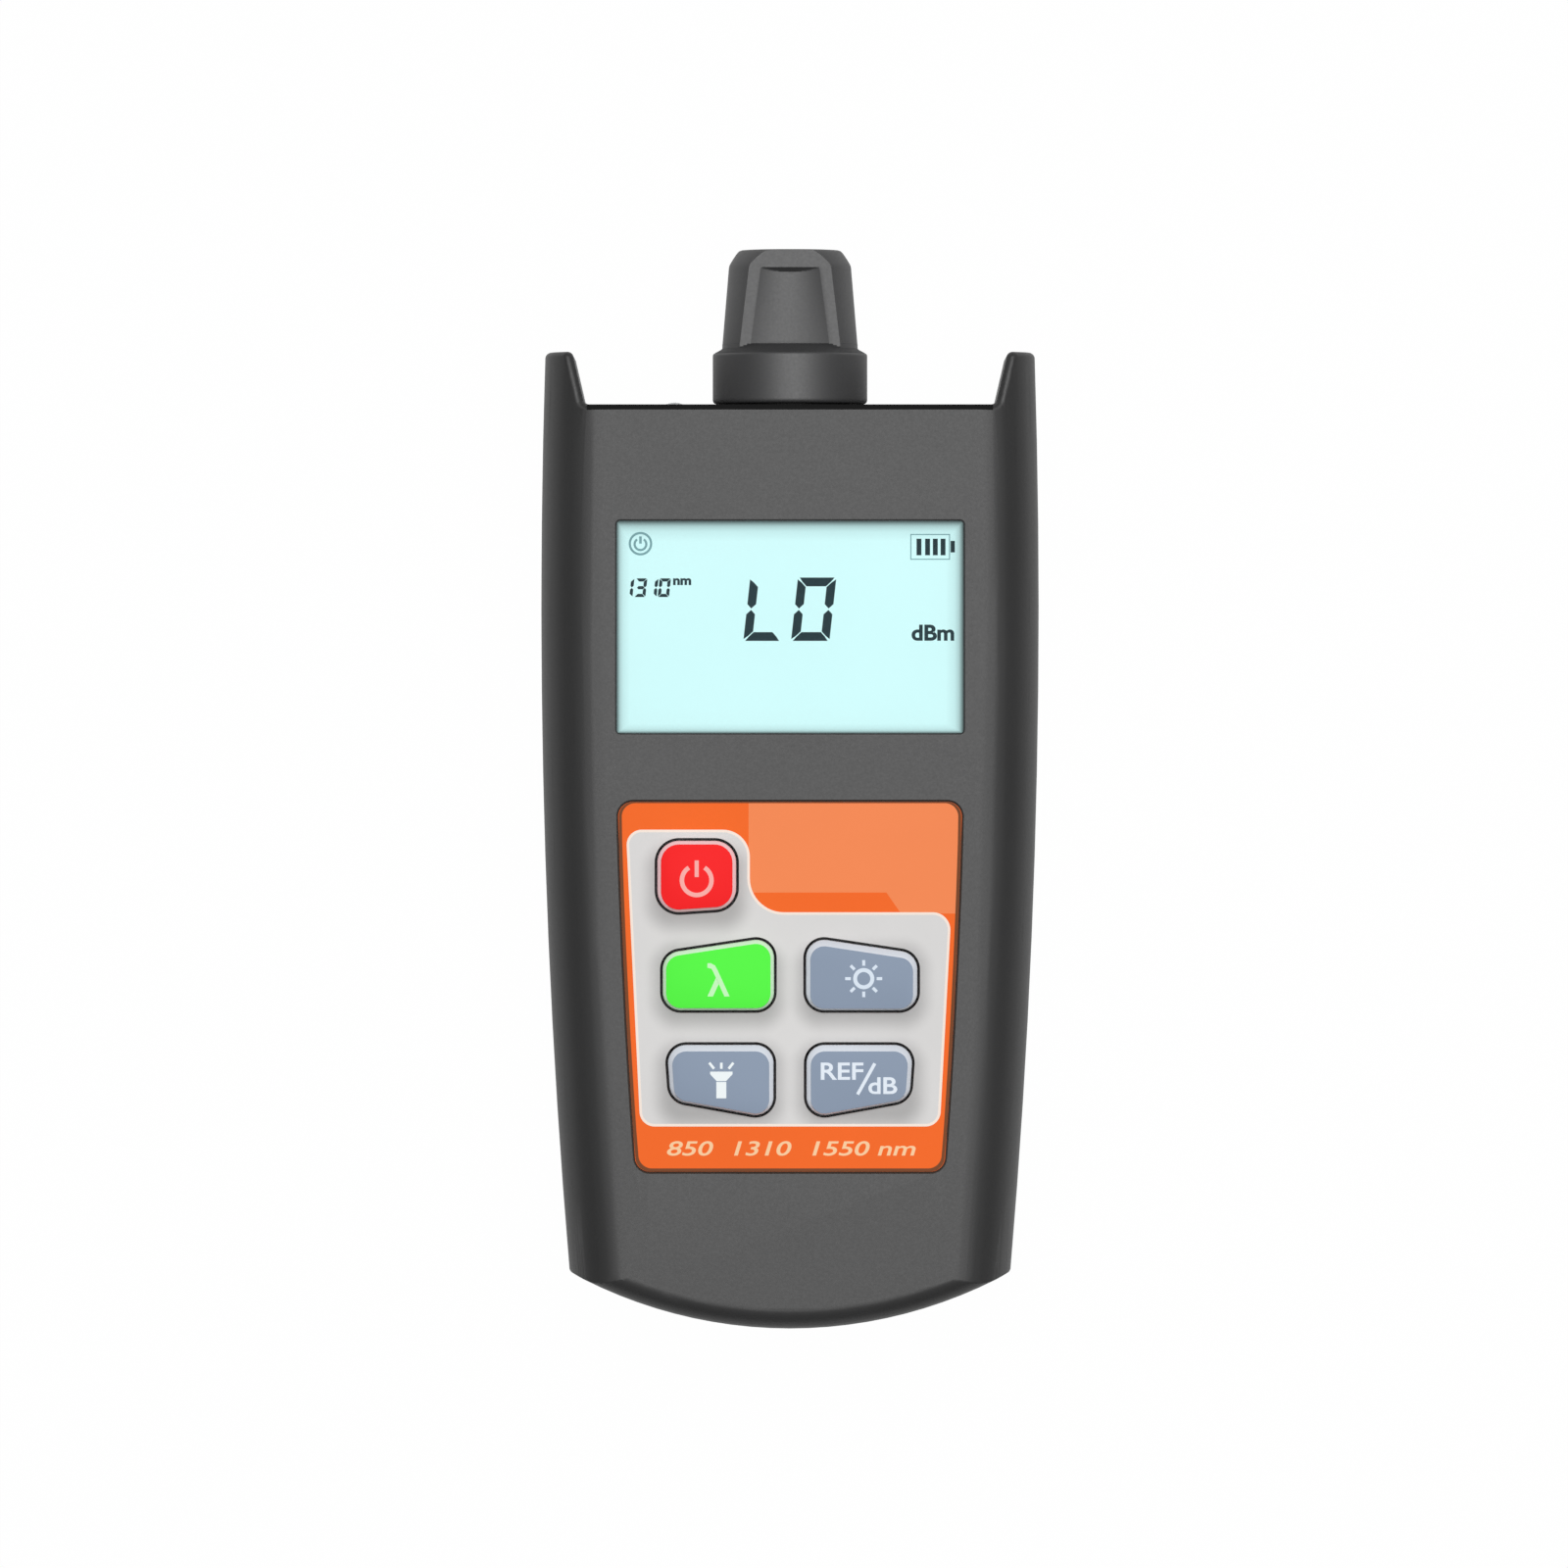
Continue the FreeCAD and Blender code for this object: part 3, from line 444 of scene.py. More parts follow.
def slab(x0, y0, x1, y1):
    """Corners of an upright rectangle in plan."""
    return [(x0, y0), (x1, y0), (x1, y1), (x0, y1)]


# Seven strokes in a unit box: a top, b and c right, d bottom, e and f left, g middle
segment_lines = {"a": ((0, 1), (1, 1)), "b": ((1, 1), (1, .5)), "c": ((1, .5), (1, 0)),
                 "d": ((0, 0), (1, 0)), "e": ((0, .5), (0, 0)), "f": ((0, 1), (0, .5)),
                 "g": ((0, .5), (1, .5))}
lit = {"0": "abcdef", "1": "bc", "3": "abcdg", "L": "def"}


def segments(sign, x, y, width, height, stroke, slant=0.11):
    """Six-sided strokes along the lit lines of the box. Each end is cut off: at the box
    corners the outer edge runs on a little and the inner one stops short, at mid height
    both stop short of a point. The box leans: x grows by the slant times y."""
    parting, corner_run = 0.08 * stroke, 0.75
    shapes, centre = [], np.array([width, height]) / 2
    for key in lit[sign]:
        start, end = (np.array(p) * (width, height) for p in segment_lines[key])
        along = (end - start) / np.linalg.norm(end - start)
        across = np.array([-along[1], along[0]]) * stroke / 2
        if ((start + end) / 2 - centre) @ across < 0:
            across = -across
        ends = []
        for tip, way, level in ((start, along, segment_lines[key][0][1]),
                                (end, -along, segment_lines[key][1][1])):
            reach = way * stroke / 2
            gap = way * parting
            outer = reach if level == 0.5 else -reach * corner_run
            ends.append([tip + gap + outer + across, tip + gap, tip + gap + reach - across])
        shape = np.array(ends[0] + ends[1][::-1])
        shapes.append([shape + (x, y) + np.column_stack([shape[:, 1] * slant, np.zeros(6)])])
    return shapes


segment_ink = moulded("liquid_crystal_segment", (0.023, 0.040, 0.047), 0.6, 0.1 * MM,
                      0.001 * MM, gloss=0.05)
faint_ink = moulded("faint_segment", (0.22, 0.36, 0.38), 0.6, 0.1 * MM, 0.001 * MM, gloss=0.05)
glass_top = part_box("lcd_panel")[1].z / MM
mark = (glass_top + 0.004, glass_top + 0.03)
on_glass = ("housing", "lcd")
digit_y, digit_height, digit_stroke = 17.62, 6.35, 1.02
digits = (segments("L", -4.87, digit_y, 3.35, digit_height, digit_stroke)
          + segments("0", 0.68, digit_y, 3.45, digit_height, digit_stroke))
drawn("screen_digits", digits, *mark, segment_ink, *on_glass)
small_y, small_height, small_stroke = 22.4, 1.8, 0.37
wavelength = []
for sign, x, width in (("1", -18.85, 0.35), ("3", -17.95, 0.95), ("1", -16.05, 0.35),
                       ("0", -15.2, 0.95)):
    wavelength += segments(sign, x, small_y, width, small_height, small_stroke)
drawn("screen_wavelength", wavelength, *mark, segment_ink, *on_glass)
lettered("screen_nanometres", "nm", -13.6, 23.6, 2.1, 0.8, *mark, segment_ink, *on_glass,
         weight=0.05)
lettered("screen_units", "dBm", 14.15, 17.13, 4.95, 1.87, *mark, segment_ink, *on_glass,
         weight=0.09)
off_x, off_y, off_stroke = -17.4, 28.42, 0.26
drawn("screen_auto_off", [ring(off_x, off_y, 1.24, off_stroke),
                          [band(ring_arc(off_x, off_y - 0.06, 0.68, 125, 415, 24), off_stroke)],
                          [slab(off_x - 0.15, off_y, off_x + 0.15, off_y + 0.85)]],
      *mark, faint_ink, *on_glass)
bar_width, bar_tail, bar_nose = 0.57, 27.07, 29.0
battery_bars = [[slab(x, bar_tail, x + bar_width, bar_nose)] for x in (14.72, 15.72, 16.62, 17.52)]
battery_bars.append([slab(18.68, 27.4, 19.18, 28.75)])
drawn("screen_battery", battery_bars, *mark, segment_ink, *on_glass)
battery_frame = [slab(14.0, 26.55, 18.62, 29.55), slab(14.12, 26.67, 18.5, 29.43)]
drawn("screen_battery_frame", [battery_frame], *mark, faint_ink, *on_glass)

# ---------------------------------------------------------------- screen lens
# A clear acrylic plate in a pocket on the inside of the front shell, over the screen. Its
# outer edge has a fine bevel, and its polish a faint waviness.
lens_corner, lens_bevel, lens_lift = 1.0, 0.12, 0.06


def rounded(corners, radius, steps=10):
    """Outline in plan: each corner of the polygon gives way to an arc of the radius, which
    touches both of its sides; points run evenly along each arc."""
    points = np.array(corners, float)
    back = np.roll(points, 1, 0) - points
    on = np.roll(points, -1, 0) - points
    back /= np.linalg.norm(back, axis=1)[:, None]
    on /= np.linalg.norm(on, axis=1)[:, None]
    half = np.arccos(np.clip((back * on).sum(1), -1, 1)) / 2
    inward = (back + on) / np.linalg.norm(back + on, axis=1)[:, None]
    radius = np.broadcast_to(np.array(radius, float), half.shape)
    centre = points + inward * (radius / np.sin(half))[:, None]
    first = points + back * (radius / np.tan(half))[:, None] - centre
    last = points + on * (radius / np.tan(half))[:, None] - centre
    turn = (math.pi - 2 * half)[:, None, None]
    t = np.linspace(0, 1, steps)[None, :, None]
    arcs = np.sin((1 - t) * turn) * first[:, None] + np.sin(t * turn) * last[:, None]
    return (centre[:, None] + arcs / np.sin(turn)).reshape(-1, 2)


def closed_skin(name, rings, material, body, angle=40):
    """Skin through rings of equal count, given in millimetres: quads join each ring to the
    next and flat faces close the first ring and the last."""
    rings = np.asarray(rings, float) * MM
    rows, count = rings.shape[:2]
    index = np.arange(rows * count).reshape(rows, count)
    step = np.roll(index, -1, axis=1)
    quads = np.stack([index[:-1], step[:-1], step[1:], index[1:]], axis=-1).reshape(-1, 4)
    mesh = bpy.data.meshes.new(name)
    mesh.from_pydata(rings.reshape(-1, 3).tolist(), [],
                     quads.tolist() + [index[0, ::-1].tolist(), index[-1].tolist()])
    turned_out(mesh)
    mesh.materials.append(material)
    mesh.shade_smooth()
    mesh.set_sharp_from_angle(angle=math.radians(angle))
    made = bpy.data.objects.new(name, mesh)
    scene.collection.objects.link(made)
    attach(made, body)
    return made


def stacked(outlines, heights):
    """Rings in space: each outline in plan stands at its own height."""
    return [np.column_stack([o, np.full(len(o), z)]) for o, z in zip(outlines, heights)]


clear, tree, gloss = started("clear_acrylic")
gloss.inputs["Base Color"].default_value = (0.85, 0.9, 0.92, 1)
gloss.inputs["Roughness"].default_value = 0.10
clear_body = tree.nodes.new("ShaderNodeBsdfTransparent")
clear_body.inputs["Color"].default_value = (0.97, 1, 1, 1)
# Past the critical angle of this gloss the underside reflects everything, so the screen is
# hidden in views from lower than about 27 degrees.
facing = tree.nodes.new("ShaderNodeFresnel")
facing.inputs["IOR"].default_value = 1.12
raised(tree, patterned(tree, "Noise", scale=300), strength=0.05, depth=0.01 * MM, skin=gloss)
tone = tree.nodes.new("ShaderNodeMixShader")
link(tree, facing, "Fac", tone, "Fac")
link(tree, clear_body, "BSDF", tone, 1)
link(tree, gloss, "BSDF", tone, 2)
link(tree, tone, "Shader", tree.nodes["Material Output"], "Surface")
lens_low, lens_high = (np.array(corner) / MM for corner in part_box("lcd_window"))
lens_plan = [rounded(slab(lens_low[0] + d, lens_low[1] + d, lens_high[0] - d, lens_high[1] - d),
                     lens_corner - d) for d in (0, 0, lens_bevel)]
lens_heights = [glass_top + lens_lift, lens_high[2] - lens_bevel, lens_high[2]]
lens = closed_skin("screen_lens", stacked(lens_plan, lens_heights), clear, "housing")
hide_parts("lcd_window")

# ---------------------------------------------------------------- keypad mat
# One grey silicone mat with a thin dished web round each key and a carbon pill under it,
# which bridges the contacts on the board.
grey_silicone = moulded("grey_silicone", (0.30, 0.30, 0.31), 0.55, 0.3 * MM, 0.006 * MM)
carbon = moulded("carbon_pill", (0.012, 0.012, 0.012), 0.7, 0.1 * MM, 0.004 * MM)
key_names = ("power", "wavelength", "backlight", "torch", "reference")
finish_node("keypad_mat", grey_silicone)
for name in key_names:
    finish_node(name + "_web", grey_silicone)
    finish_node(name + "_pill", carbon)

# ---------------------------------------------------------------- keypad label
# Polyester film with an orange ground, a lighter panel, a pale grey field round the keys and
# a cream outline, all screen printed; it is glued into a shallow recess.
label_low, label_high = (np.array(corner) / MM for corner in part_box("keypad_label"))
film_orange = moulded("orange_film", (0.94, 0.152, 0.023), 0.55, 0.5 * MM, 0.003 * MM,
                      gloss=0.06, drift=0.02)
light_orange = moulded("light_orange_print", (0.945, 0.264, 0.095), 0.55, 0.5 * MM, 0.003 * MM,
                       gloss=0.06, drift=0.02)
field_grey_and_key_shadows = moulded("pale_grey_print_and_key_shadows", (0.70, 0.69, 0.68), 0.5, 0.5 * MM, 0.003 * MM,
                     gloss=0.2, drift=0.02)
# Painted shadow of the keys: the grey print darkens softly round each key, a little more on its
# tail side. For each key, given by its centre and half sizes, the painted shadow follows the
# distance from a rounded box: how far a point lies beyond the box's core along x and y, taken as
# one length.
shade_corner, shade_shift, shade_least = 1.8, 0.45, 0.60
shade_start, shade_end = 1.3, 4.3
tree = field_grey_and_key_shadows.node_tree
place = next(n for n in tree.nodes if n.type == "TEX_COORD")
paint = tree.nodes["Principled BSDF"].inputs["Base Color"].links[0].from_node
painted_key_shadow = None
for x, y, half_x, half_y in ((-10.84, -11.1, 4.6, 3.75), (-8.32, -22.5, 6.4, 3.65),
                             (8.32, -22.5, 6.4, 3.65), (-8.1, -34.0, 6.15, 3.75),
                             (8.1, -34.0, 6.15, 3.75)):
    key_centre = (x * MM, (y - shade_shift) * MM, label_high[2] * MM)
    core = ((half_x - shade_corner) * MM, (half_y - shade_corner) * MM, 1 * MM)
    offset = worked(tree, "VectorMath", "SUBTRACT", (place, "Object"), second=key_centre)
    fold = worked(tree, "VectorMath", "ABSOLUTE", (offset, "Vector"))
    outside = worked(tree, "VectorMath", "SUBTRACT", (fold, "Vector"), second=core)
    beyond = worked(tree, "VectorMath", "MAXIMUM", (outside, "Vector"))
    distance = worked(tree, "VectorMath", "LENGTH", (beyond, "Vector"))
    key_shadow_fade = tree.nodes.new("ShaderNodeMapRange")
    key_shadow_fade.interpolation_type = "SMOOTHSTEP"
    key_shadow_fade.inputs["From Min"].default_value = shade_start * MM
    key_shadow_fade.inputs["From Max"].default_value = shade_end * MM
    key_shadow_fade.inputs["To Min"].default_value = shade_least
    key_shadow_fade.inputs["To Max"].default_value = 1.0
    link(tree, distance, "Value", key_shadow_fade, "Value")
    painted_key_shadow = worked(tree, "Math", "MULTIPLY", (painted_key_shadow, 0), (key_shadow_fade, 0)) if painted_key_shadow else key_shadow_fade
# The painted key shadow darkens the print's own colour
shaded = worked(tree, "VectorMath", "SCALE", (paint, "Color"))
link(tree, painted_key_shadow, "Value", shaded, "Scale")
link(tree, shaded, "Vector", tree.nodes["Principled BSDF"], "Base Color")
cream = moulded("cream_print", (0.95, 0.82, 0.72), 0.5, 0.5 * MM, 0.002 * MM, gloss=0.1,
                drift=0.02)
legend_cream = moulded("legend_print", (0.97, 0.63, 0.36), 0.5, 0.5 * MM, 0.002 * MM, gloss=0.1,
                       drift=0.02)
finish_node("keypad_label", film_orange)
label_top, label_tail, film_top = label_high[1], label_low[1], label_high[2]
side_radius, side_centre, side_widest = 908.87, -879.87, 21.1
film_inset, panel_inset, field_inset, film_corner, arc_points = 8.7, 8.85, 9.6, 1.7, 14
on_label = ("housing", "label_film")


def side_line(y, inset):
    """How far the case side lies from the middle line at y, drawn in by the inset: a bow of
    very large radius."""
    return side_centre + np.sqrt((side_radius - inset) ** 2 - (np.asarray(y) - side_widest) ** 2)


# Key corners: distance from the middle line and share of the label's length from its top
power_plan = [(6.26, 0.105), (15.42, 0.105), (15.42, 0.302), (6.26, 0.288)]
middle_plan = [(1.86, 0.365), (14.79, 0.410), (14.79, 0.563), (1.86, 0.563)]
lower_plan = [(1.92, 0.657), (14.33, 0.657), (13.87, 0.806), (1.92, 0.856)]
# Corners, corner radius and side of each key: -1 is left of the middle line, 1 right of it
key_plans = {"power": (power_plan, 2.5, -1), "wavelength": (middle_plan, 2.1, -1),
             "backlight": (middle_plan, 2.1, 1), "torch": (lower_plan, 2.1, -1),
             "reference": (lower_plan, 2.1, 1)}


def key_outline(name, grow=0.0):
    """Rounded key outline in plan, shifted outwards by the growth along its own normal."""
    corners, radius, side = key_plans[name]
    spots = np.array([(side * x, label_top - share * (label_top - label_tail))
                      for x, share in corners])
    spots = spots if side < 0 else spots[::-1]
    outline = rounded(spots, radius, 12)
    along = np.roll(outline, -1, 0) - np.roll(outline, 1, 0)
    along /= np.linalg.norm(along, axis=1)[:, None]
    area = (outline[:, 0] * np.roll(outline[:, 1], -1)
            - outline[:, 1] * np.roll(outline[:, 0], -1)).sum()
    return outline + np.column_stack([along[:, 1], -along[:, 0]]) * np.sign(area) * grow


def field_outline(inset):
    """The grey field: a rectangle that narrows with the sides, its upper right corner cut
    out by the lighter panel, every corner rounded."""
    edge = field_inset + inset
    top, step, tail = -4.9 - inset, -14.5 - inset, -39.3 + inset
    notch = -4.72 - inset
    corners = [(-float(side_line(top, edge)), top), (notch, top), (notch, step),
               (float(side_line(step, edge)), step), (float(side_line(tail, edge)), tail),
               (-float(side_line(tail, edge)), tail)]
    radii = np.array([1.7, 3.1, 4.0, 2.0, 1.7, 1.7]) - inset * np.array([1, 1, -1, 1, 1, 1])
    return rounded(corners, radii, arc_points)


def film_outline(aside, above, below):
    """Edge of the film moved out by three distances: sides, nose end and tail end. Between
    the rounded corners the sides bow as the case does, at a fixed inset from it."""
    low, high = label_tail - below, label_top + above
    corners = [(side * float(side_line(y, film_inset - aside)), y)
               for side, y in ((1, low), (1, high), (-1, high), (-1, low))]
    arcs = rounded(corners, film_corner + above, arc_points).reshape(4, arc_points, 2)
    y = np.linspace(arcs[0, -1, 1], arcs[1, 0, 1], arc_points)[1:-1]
    bow = np.column_stack([side_line(y, film_inset - aside), y])
    return np.vstack([arcs[0], bow, arcs[1], arcs[2], bow[::-1] * (-1, 1), arcs[3]])


# Painted shadow: a dark strip on the floor of the groove round the film
groove_shadow_strip = moulded("painted_groove_shadow", (0.055, 0.036, 0.027), 0.7, 0.2 * MM, 0.003 * MM, gloss=0.1)
# Painted shade: a dark brown strip along the film's edge, wide on the sides and tail, narrow at
# the nose
edge_shade_ink = moulded("painted_edge_shade", (0.20, 0.068, 0.028), 0.6, 0.5 * MM, 0.002 * MM,
                      gloss=0.06)
groove_shadow_low, groove_shadow_height = label_low[2] + 0.002, 0.12
# How high each print stands over the film
panel_print, edge_shade_print, legend_print = 0.012, 0.017, 0.02
field_print, outline_print = 0.022, 0.032
# The painted shadow in the groove round the film
drawn("label_groove_shadow", [[film_outline(0.23, 0.23, 0.23), film_outline(0.03, 0.03, 0.03)]],
      groove_shadow_low, groove_shadow_low + groove_shadow_height, groove_shadow_strip, *on_label)
# The painted shade along the film's edge
drawn("label_edge_shade", [[film_outline(-0.01, -0.01, -0.01), film_outline(-0.38, -0.14, -0.38)]],
      film_top, film_top + edge_shade_print, edge_shade_ink, *on_label)
panel_left, panel_low, panel_step, panel_margin, panel_corner = -4.82, -12.16, -14.6, 0.15, 1.6
right = [(float(side_line(y, panel_inset)), y)
         for y in np.linspace(panel_step, label_top - film_corner, 8)]
corner_x = float(side_line(label_top, panel_inset)) - panel_corner
corner_arc = ring_arc(corner_x, label_top - (panel_margin + panel_corner), panel_corner,
                      0, 90, 10)
panel_outline = [(panel_left, label_top - panel_margin), (panel_left, panel_low),
                 (11.2, panel_low), (12.9, panel_step)] + right + corner_arc.tolist()
drawn("label_panel", [[panel_outline]], film_top, film_top + panel_print, light_orange,
      *on_label)
key_gap = 0.32
holes = [key_outline(name, key_gap) for name in key_names]
drawn("label_field", [[field_outline(0.0)] + holes], film_top, film_top + field_print,
      field_grey_and_key_shadows, *on_label)
drawn("label_outline", [[field_outline(-0.05), field_outline(0.25)]], film_top,
      film_top + outline_print, cream, *on_label)
lettered("label_legend", "850  1310  1550 nm", -14.3, -42.75, 28.9, 1.7, film_top,
         film_top + legend_print, legend_cream, *on_label, slant=0.2, weight=0.03)

# ---------------------------------------------------------------- keys
# Silicone keys with a pale bevelled rim, partly painted highlight and drawn wider on the nose
# side, where the light falls, and a coloured top with a pale sign, both printed; each dips 0.8 mm
# on its web.
red, green, slate = (0.97, 0.020, 0.022), (0.10, 0.96, 0.065), (0.275, 0.338, 0.440)
# Slot and colour of each top, and how wide the rim is at its sides, nose end and tail end; these
# widths lay out the painted highlight, narrowest at the tail end
grey_top = ("key_grey", slate, 0.50, 0.74, 0.18)
key_tops = {"power": ("key_red", red, 0.42, 0.42, 0.30),
            "wavelength": ("key_green", green, 0.40, 0.46, 0.24),
            "backlight": grey_top, "torch": grey_top, "reference": grey_top}
# Pale rim tints: the rubber's own tint, lightened as painted highlight
rim_tint_and_highlight = {"key_red": (0.95, 0.62, 0.64), "key_green": (0.66, 0.93, 0.64),
             "key_grey": (0.70, 0.74, 0.80)}
sign_tones = {"power": (0.97, 0.43, 0.40), "wavelength": (0.58, 0.96, 0.53),
              "backlight": (0.73, 0.82, 0.92), "torch": (0.90, 0.96, 0.97),
              "reference": (0.80, 0.87, 0.95)}
rim_silicones_with_highlight = {slot: moulded(slot + "_rim", tone, 0.4, 0.4 * MM, 0.003 * MM, gloss=0.3)
                 for slot, tone in rim_tint_and_highlight.items()}
top_inks = {slot: moulded(slot + "_ink", colour, 0.5, 0.3 * MM, 0.003 * MM, gloss=0.05,
                          drift=0.02)
            for slot, colour, *rims in key_tops.values()}
sign_inks = {name: moulded(name + "_sign_ink", tone, 0.5, 0.3 * MM, 0.002 * MM, gloss=0.1,
                           drift=0.02) for name, tone in sign_tones.items()}


def face_outline(name, side_rim, nose_rim, tail_rim):
    """Outline of the coloured top: the key outline drawn in by the side rim, then stretched
    along y so that the nose and tail rims have their own widths."""
    face = key_outline(name, -side_rim)
    low, high = face[:, 1].min(), face[:, 1].max()
    wide_low, wide_high = low + tail_rim - side_rim, high - nose_rim + side_rim
    face[:, 1] = wide_low + (face[:, 1] - low) / (high - low) * (wide_high - wide_low)
    return face


# Insets of the rim's rings from the foot up, depths below the key's top of all rings over
# the foot, and the depths and last ring's size of the coloured top
rim_insets, shell_depths = (0, 0, 0.03, 0.10), (0.62, 0.45, 0.36, 0.10, 0.02)
ink_depths, ink_share = (0.06, 0.015, -0.01), 0.985
for name, (slot, colour, *rims) in key_tops.items():
    low, high = (np.array(corner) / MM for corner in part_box(name + "_key"))
    foot, top = low[2], high[2]
    face = face_outline(name, *rims)
    plans = [key_outline(name, -inset) for inset in rim_insets] + [face, face]
    heights = [foot] + [top - depth for depth in shell_depths]
    shell = closed_skin(name + "_key_body", stacked(plans, heights),
                        rim_silicones_with_highlight[slot], name + "_button")
    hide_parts(name + "_key")
    middle = face.mean(0)
    plans = [face, face, middle + (face - middle) * ink_share]
    closed_skin(name + "_key_top", stacked(plans, [top - depth for depth in ink_depths]),
                top_inks[slot], name + "_button")
key_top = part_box("power_key")[1].z / MM - ink_depths[-1]
sign_span = (key_top - 0.004, key_top + 0.02)

power_x, power_y = -10.84, -10.72
drawn("power_sign", [[band(ring_arc(power_x, power_y, 1.72, 122, 418, 40), 0.52)],
                     [slab(power_x - 0.24, -10.35, power_x + 0.24, -8.42)]],
      *sign_span, sign_inks["power"], "power_button", "key_red")
long_leg = [(-9.60, -20.36), (-9.20, -20.36), (-8.72, -20.62), (-8.42, -21.15),
            (-7.02, -24.22), (-7.62, -24.22), (-8.90, -21.40), (-9.12, -21.0), (-9.60, -20.88)]
short_leg = [(-8.60, -22.05), (-8.27, -22.75), (-8.95, -24.22), (-9.60, -24.22)]
drawn("wavelength_sign", [[long_leg], [short_leg]], *sign_span, sign_inks["wavelength"],
      "wavelength_button", "key_green")
sun_x, sun_y = 8.56, -22.15
rays = [[band([(sun_x + r * math.cos(a), sun_y + r * math.sin(a)) for r in (1.5, 1.82, 2.15)],
              0.35)] for a in np.arange(8) * math.pi / 4]
drawn("backlight_sign", [ring(sun_x, sun_y, 1.0, 0.46)] + rays, *sign_span,
      sign_inks["backlight"], "backlight_button", "key_grey")
torch_x = -7.98
beams = [[band([(torch_x + 0.85 * k, -32.62), (torch_x + 1.12 * k, -32.27),
                (torch_x + 1.4 * k, -31.92)], 0.30)] for k in (-1.0, 0.0, 1.0)]
head = [(torch_x - 1.3, -32.95), (torch_x - 1.3, -33.25), (torch_x - 0.55, -34.05),
        (torch_x + 0.55, -34.05), (torch_x + 1.3, -33.25), (torch_x + 1.3, -32.95)]
drawn("torch_sign", beams + [[head], [slab(torch_x - 0.58, -36.05, torch_x + 0.58, -34.15)]],
      *sign_span, sign_inks["torch"], "torch_button", "key_grey")
reference_print = (*sign_span, sign_inks["reference"], "reference_button", "key_grey")
lettered("reference_sign", "REF", 3.57, -33.9, 4.95, 2.0, *reference_print, weight=0.05)
lettered("decibel_sign", "dB", 9.1, -35.55, 3.35, 1.95, *reference_print, weight=0.05)
drawn("reference_stroke", [[band([(7.85, -35.6), (8.85, -33.8), (9.85, -32.0)], 0.38)]],
      *reference_print)

# ---------------------------------------------------------------- fibre port and torch lamp
# A nickel-plated brass barrel clamps the photodiode in the nose; a knurled adapter screws
# over it. Beside it a clear resin lamp looks out of the nose wall.
nickel = moulded("bright_nickel", (0.68, 0.66, 0.62), 0.24, 0.2 * MM, 0.002 * MM, metal=1.0)
tree = nickel.node_tree
lathe = patterned(tree, "Wave", scale=900)
lathe.bands_direction = "Y"
raised(tree, lathe, strength=0.25, depth=0.004 * MM, skin=tree.nodes["Principled BSDF"])
smoothed("detector_barrel", "housing", nickel)
smoothed("universal_adapter", "housing", nickel)
black_rubber = moulded("black_rubber", (0.02, 0.02, 0.02), 0.6, 0.3 * MM, 0.008 * MM, gloss=0.3)
smoothed("barrel_gasket", "housing", black_rubber)
smoothed("photodiode", "housing", nickel_spring)
resin = moulded("clear_resin", (0.80, 0.84, 0.86), 0.12, 0.5 * MM, 0.002 * MM, drift=0.02)
resin.node_tree.nodes["Principled BSDF"].inputs["Transmission Weight"].default_value = 0.55
smoothed("torch_led", "housing", resin)

# ---------------------------------------------------------------- nose edge shade
# A thin matt black strip along the rounded nose edge, between the two guard horns: painted shade
# on the edge.
nose_shade_black = moulded("painted_nose_edge_shade", (0.012, 0.012, 0.012), 0.9, 0.2 * MM, 0.002 * MM,
                     gloss=0.05)
edge_y, edge_z, edge_round, shade_strip_end = 43.88, 27.28, 0.72, 23.6
shade_strip_proud, shade_strip_sunk = 0.012, 0.02


def shade_strip_section(x):
    """Cross-section at x: an arc just outside the edge rounding and one just inside it."""
    turn = np.radians(np.linspace(10, 82, 11))
    arc = np.column_stack([np.cos(turn), np.sin(turn)])
    line = np.vstack([arc * (edge_round + shade_strip_proud), arc[::-1] * (edge_round - shade_strip_sunk)])
    return np.column_stack([np.full(len(line), x), line + (edge_y, edge_z)])


closed_skin("nose_edge_shade", [shade_strip_section(-shade_strip_end), shade_strip_section(shade_strip_end)], nose_shade_black,
            "housing")

# ---------------------------------------------------------------- dust cap
# Soft black rubber moulding pushed over the port: a round collar, a sloping shoulder and a
# tapering grip with a flat and a hollow thumb scoop above and below.
cap_rubber = moulded("cap_rubber", (0.034, 0.034, 0.035), 0.58, 0.3 * MM, 0.008 * MM, gloss=1.0)
cap_low, cap_high = (np.array(corner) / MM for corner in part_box("dust_cap"))
cap_foot, axis_z = cap_low[1], (cap_low[2] + cap_high[2]) / 2
flat_height, scoop_depth = 5.32, 0.7
scoop_from, scoop_to, scoop_ramp = 7.1, 15.9, 0.55
scoop_half, scoop_narrowing, scoop_margin, round_span = 4.63, 1.2, 0.25, 0.6


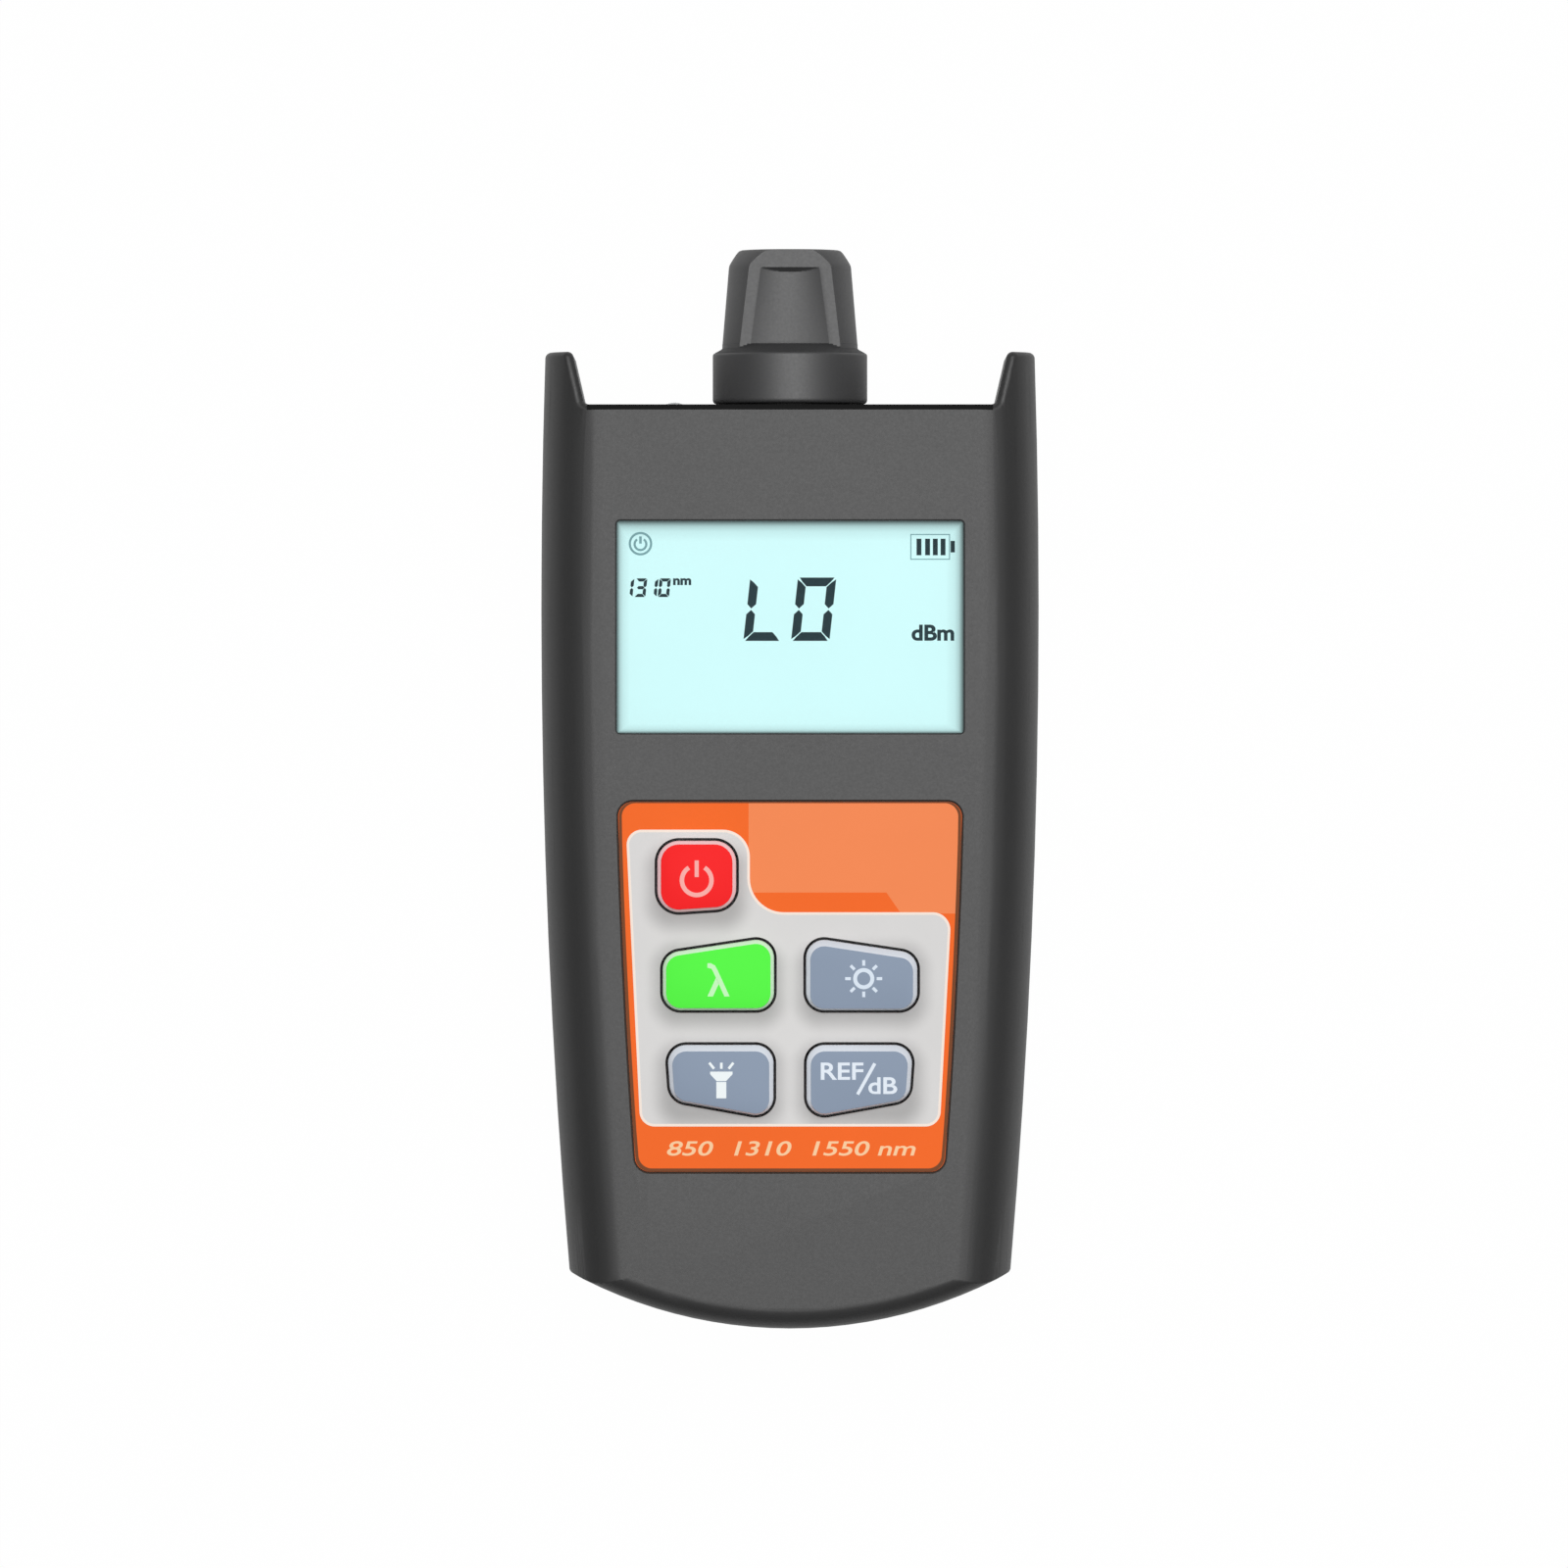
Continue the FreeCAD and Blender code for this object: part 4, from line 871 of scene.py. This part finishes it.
def cap_ring(y, radius, flat=0.0, hollow=0.0, collar=0.0):
    """One ring round the port axis at height y above the cap's foot. From the right side
    over the top to the left and back below, x runs evenly in spans between the knots radius,
    flat edge and scoop edge; z is the circle's height held down to the flat, less a bow as
    deep as the hollow within the scoop, which runs out up a ramp, and never below the
    collar's own circle."""
    ceiling = flat or radius
    flat_edge = math.sqrt(radius**2 - flat**2) if flat else round_span * radius
    along = np.clip((y - scoop_from) / (scoop_to - scoop_from), 0, 1)
    scoop_edge = min(scoop_half - scoop_narrowing * along, flat_edge - scoop_margin)
    outer = flat_edge + (radius - flat_edge) * np.sin(np.linspace(math.pi / 2, 0, 13))
    middle = np.linspace(flat_edge, scoop_edge, 4)[1:]
    centre = scoop_edge * np.cos(np.linspace(0, math.pi, 17))[1:-1]
    x = np.concatenate([outer, middle, centre, -middle[::-1], -outer[::-1]])
    z = np.minimum(np.sqrt(np.maximum(radius**2 - x**2, 0)), ceiling)
    bow = np.minimum(hollow * (1 - (x / scoop_edge) ** 2),
                     scoop_depth * (scoop_to - y) / scoop_ramp)
    z = np.where(np.abs(x) < scoop_edge, z - np.maximum(bow, 0), z)
    z = np.maximum(z, np.sqrt(np.maximum(collar**2 - x**2, 0)))
    top = np.column_stack([x, z])[:-1]
    plan = np.vstack([top, -top])
    return np.column_stack([plan[:, 0], np.full(len(plan), cap_foot + y), axis_z + plan[:, 1]])


# From the foot up: the collar with its rounded edges, the sloping shoulder that runs into the
# grip, the tapering grip with its scoops, and the rounded end
collar, shoulder_slope, shoulder_start, shoulder_least = 9.04, 2.12 / 1.15, 5.83, 7.92
grip, grip_taper, grip_start = 7.9, 0.0835, 6.98
cap_profile = [(0.0, 8.64), (0.07, 8.84), (0.2, 8.97), (0.4, collar), (0.6, collar),
               (5.5, collar), (5.70, 9.035), (5.79, 8.995), (5.87, 8.93)]
for y in (6.02, 6.2, 6.35, 6.5, 6.65, 6.8, 6.97):
    slope = collar - shoulder_slope * (y - shoulder_start)
    cap_profile.append((y, max(shoulder_least, slope), flat_height, 0, slope))
cap_profile += [(7.0, grip, flat_height), (7.01, grip, flat_height, scoop_depth)]
cap_profile += [(y, grip - grip_taper * (y - grip_start), flat_height, scoop_depth)
                for y in (9.0, 11.0, 13.0, 15.0, 15.3, 15.37, 15.45, 15.55, 15.65, 15.78)]
cap_profile += [(y, radius, flat_height) for y, radius in
                ((15.9, 7.155), (16.1, 7.12), (16.35, 7.03), (16.9, 6.70), (17.5, 6.30),
                 (17.75, 6.10), (17.9, 5.92), (17.98, 5.70), (18.0, 5.45))]
outside = [cap_ring(*station) for station in cap_profile]
# The bore from its closed end down to the foot, narrow at first and then wide
bore_walls = [(16.4, 0.02), (16.4, 3.7), (6.1, 3.7), (6.1, 7.45), (0.0, 7.45)]
inside = [cap_ring(y, radius) for y, radius in bore_walls]
cap_skin = closed_skin("dust_cap_skin", inside + outside, cap_rubber, "cap", 28)
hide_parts("dust_cap")
# The shoulder faces that look towards the nose get a rougher, less glossy rubber, painted a little
# darker as shade.
shoulder_shade_rubber = moulded("painted_shade_cap_rubber", (0.029, 0.029, 0.030), 0.7, 0.3 * MM, 0.012 * MM,
                      gloss=0.55)
cap_skin.data.materials.append(shoulder_shade_rubber)
# Shoulder faces that look towards the nose take the painted shade
shoulder_shade_from, shoulder_shade_to, shoulder_shade_facing = 5.88, 7.0, 0.5
faces = cap_skin.data.polygons
middles, ways = np.empty(3 * len(faces)), np.empty(3 * len(faces))
faces.foreach_get("center", middles)
faces.foreach_get("normal", ways)
above_foot = middles[1::3] / MM - cap_foot
on_shoulder = (above_foot > shoulder_shade_from) & (above_foot < shoulder_shade_to) & (ways[1::3] > shoulder_shade_facing)
faces.foreach_set("material_index", on_shoulder.astype(np.int32))
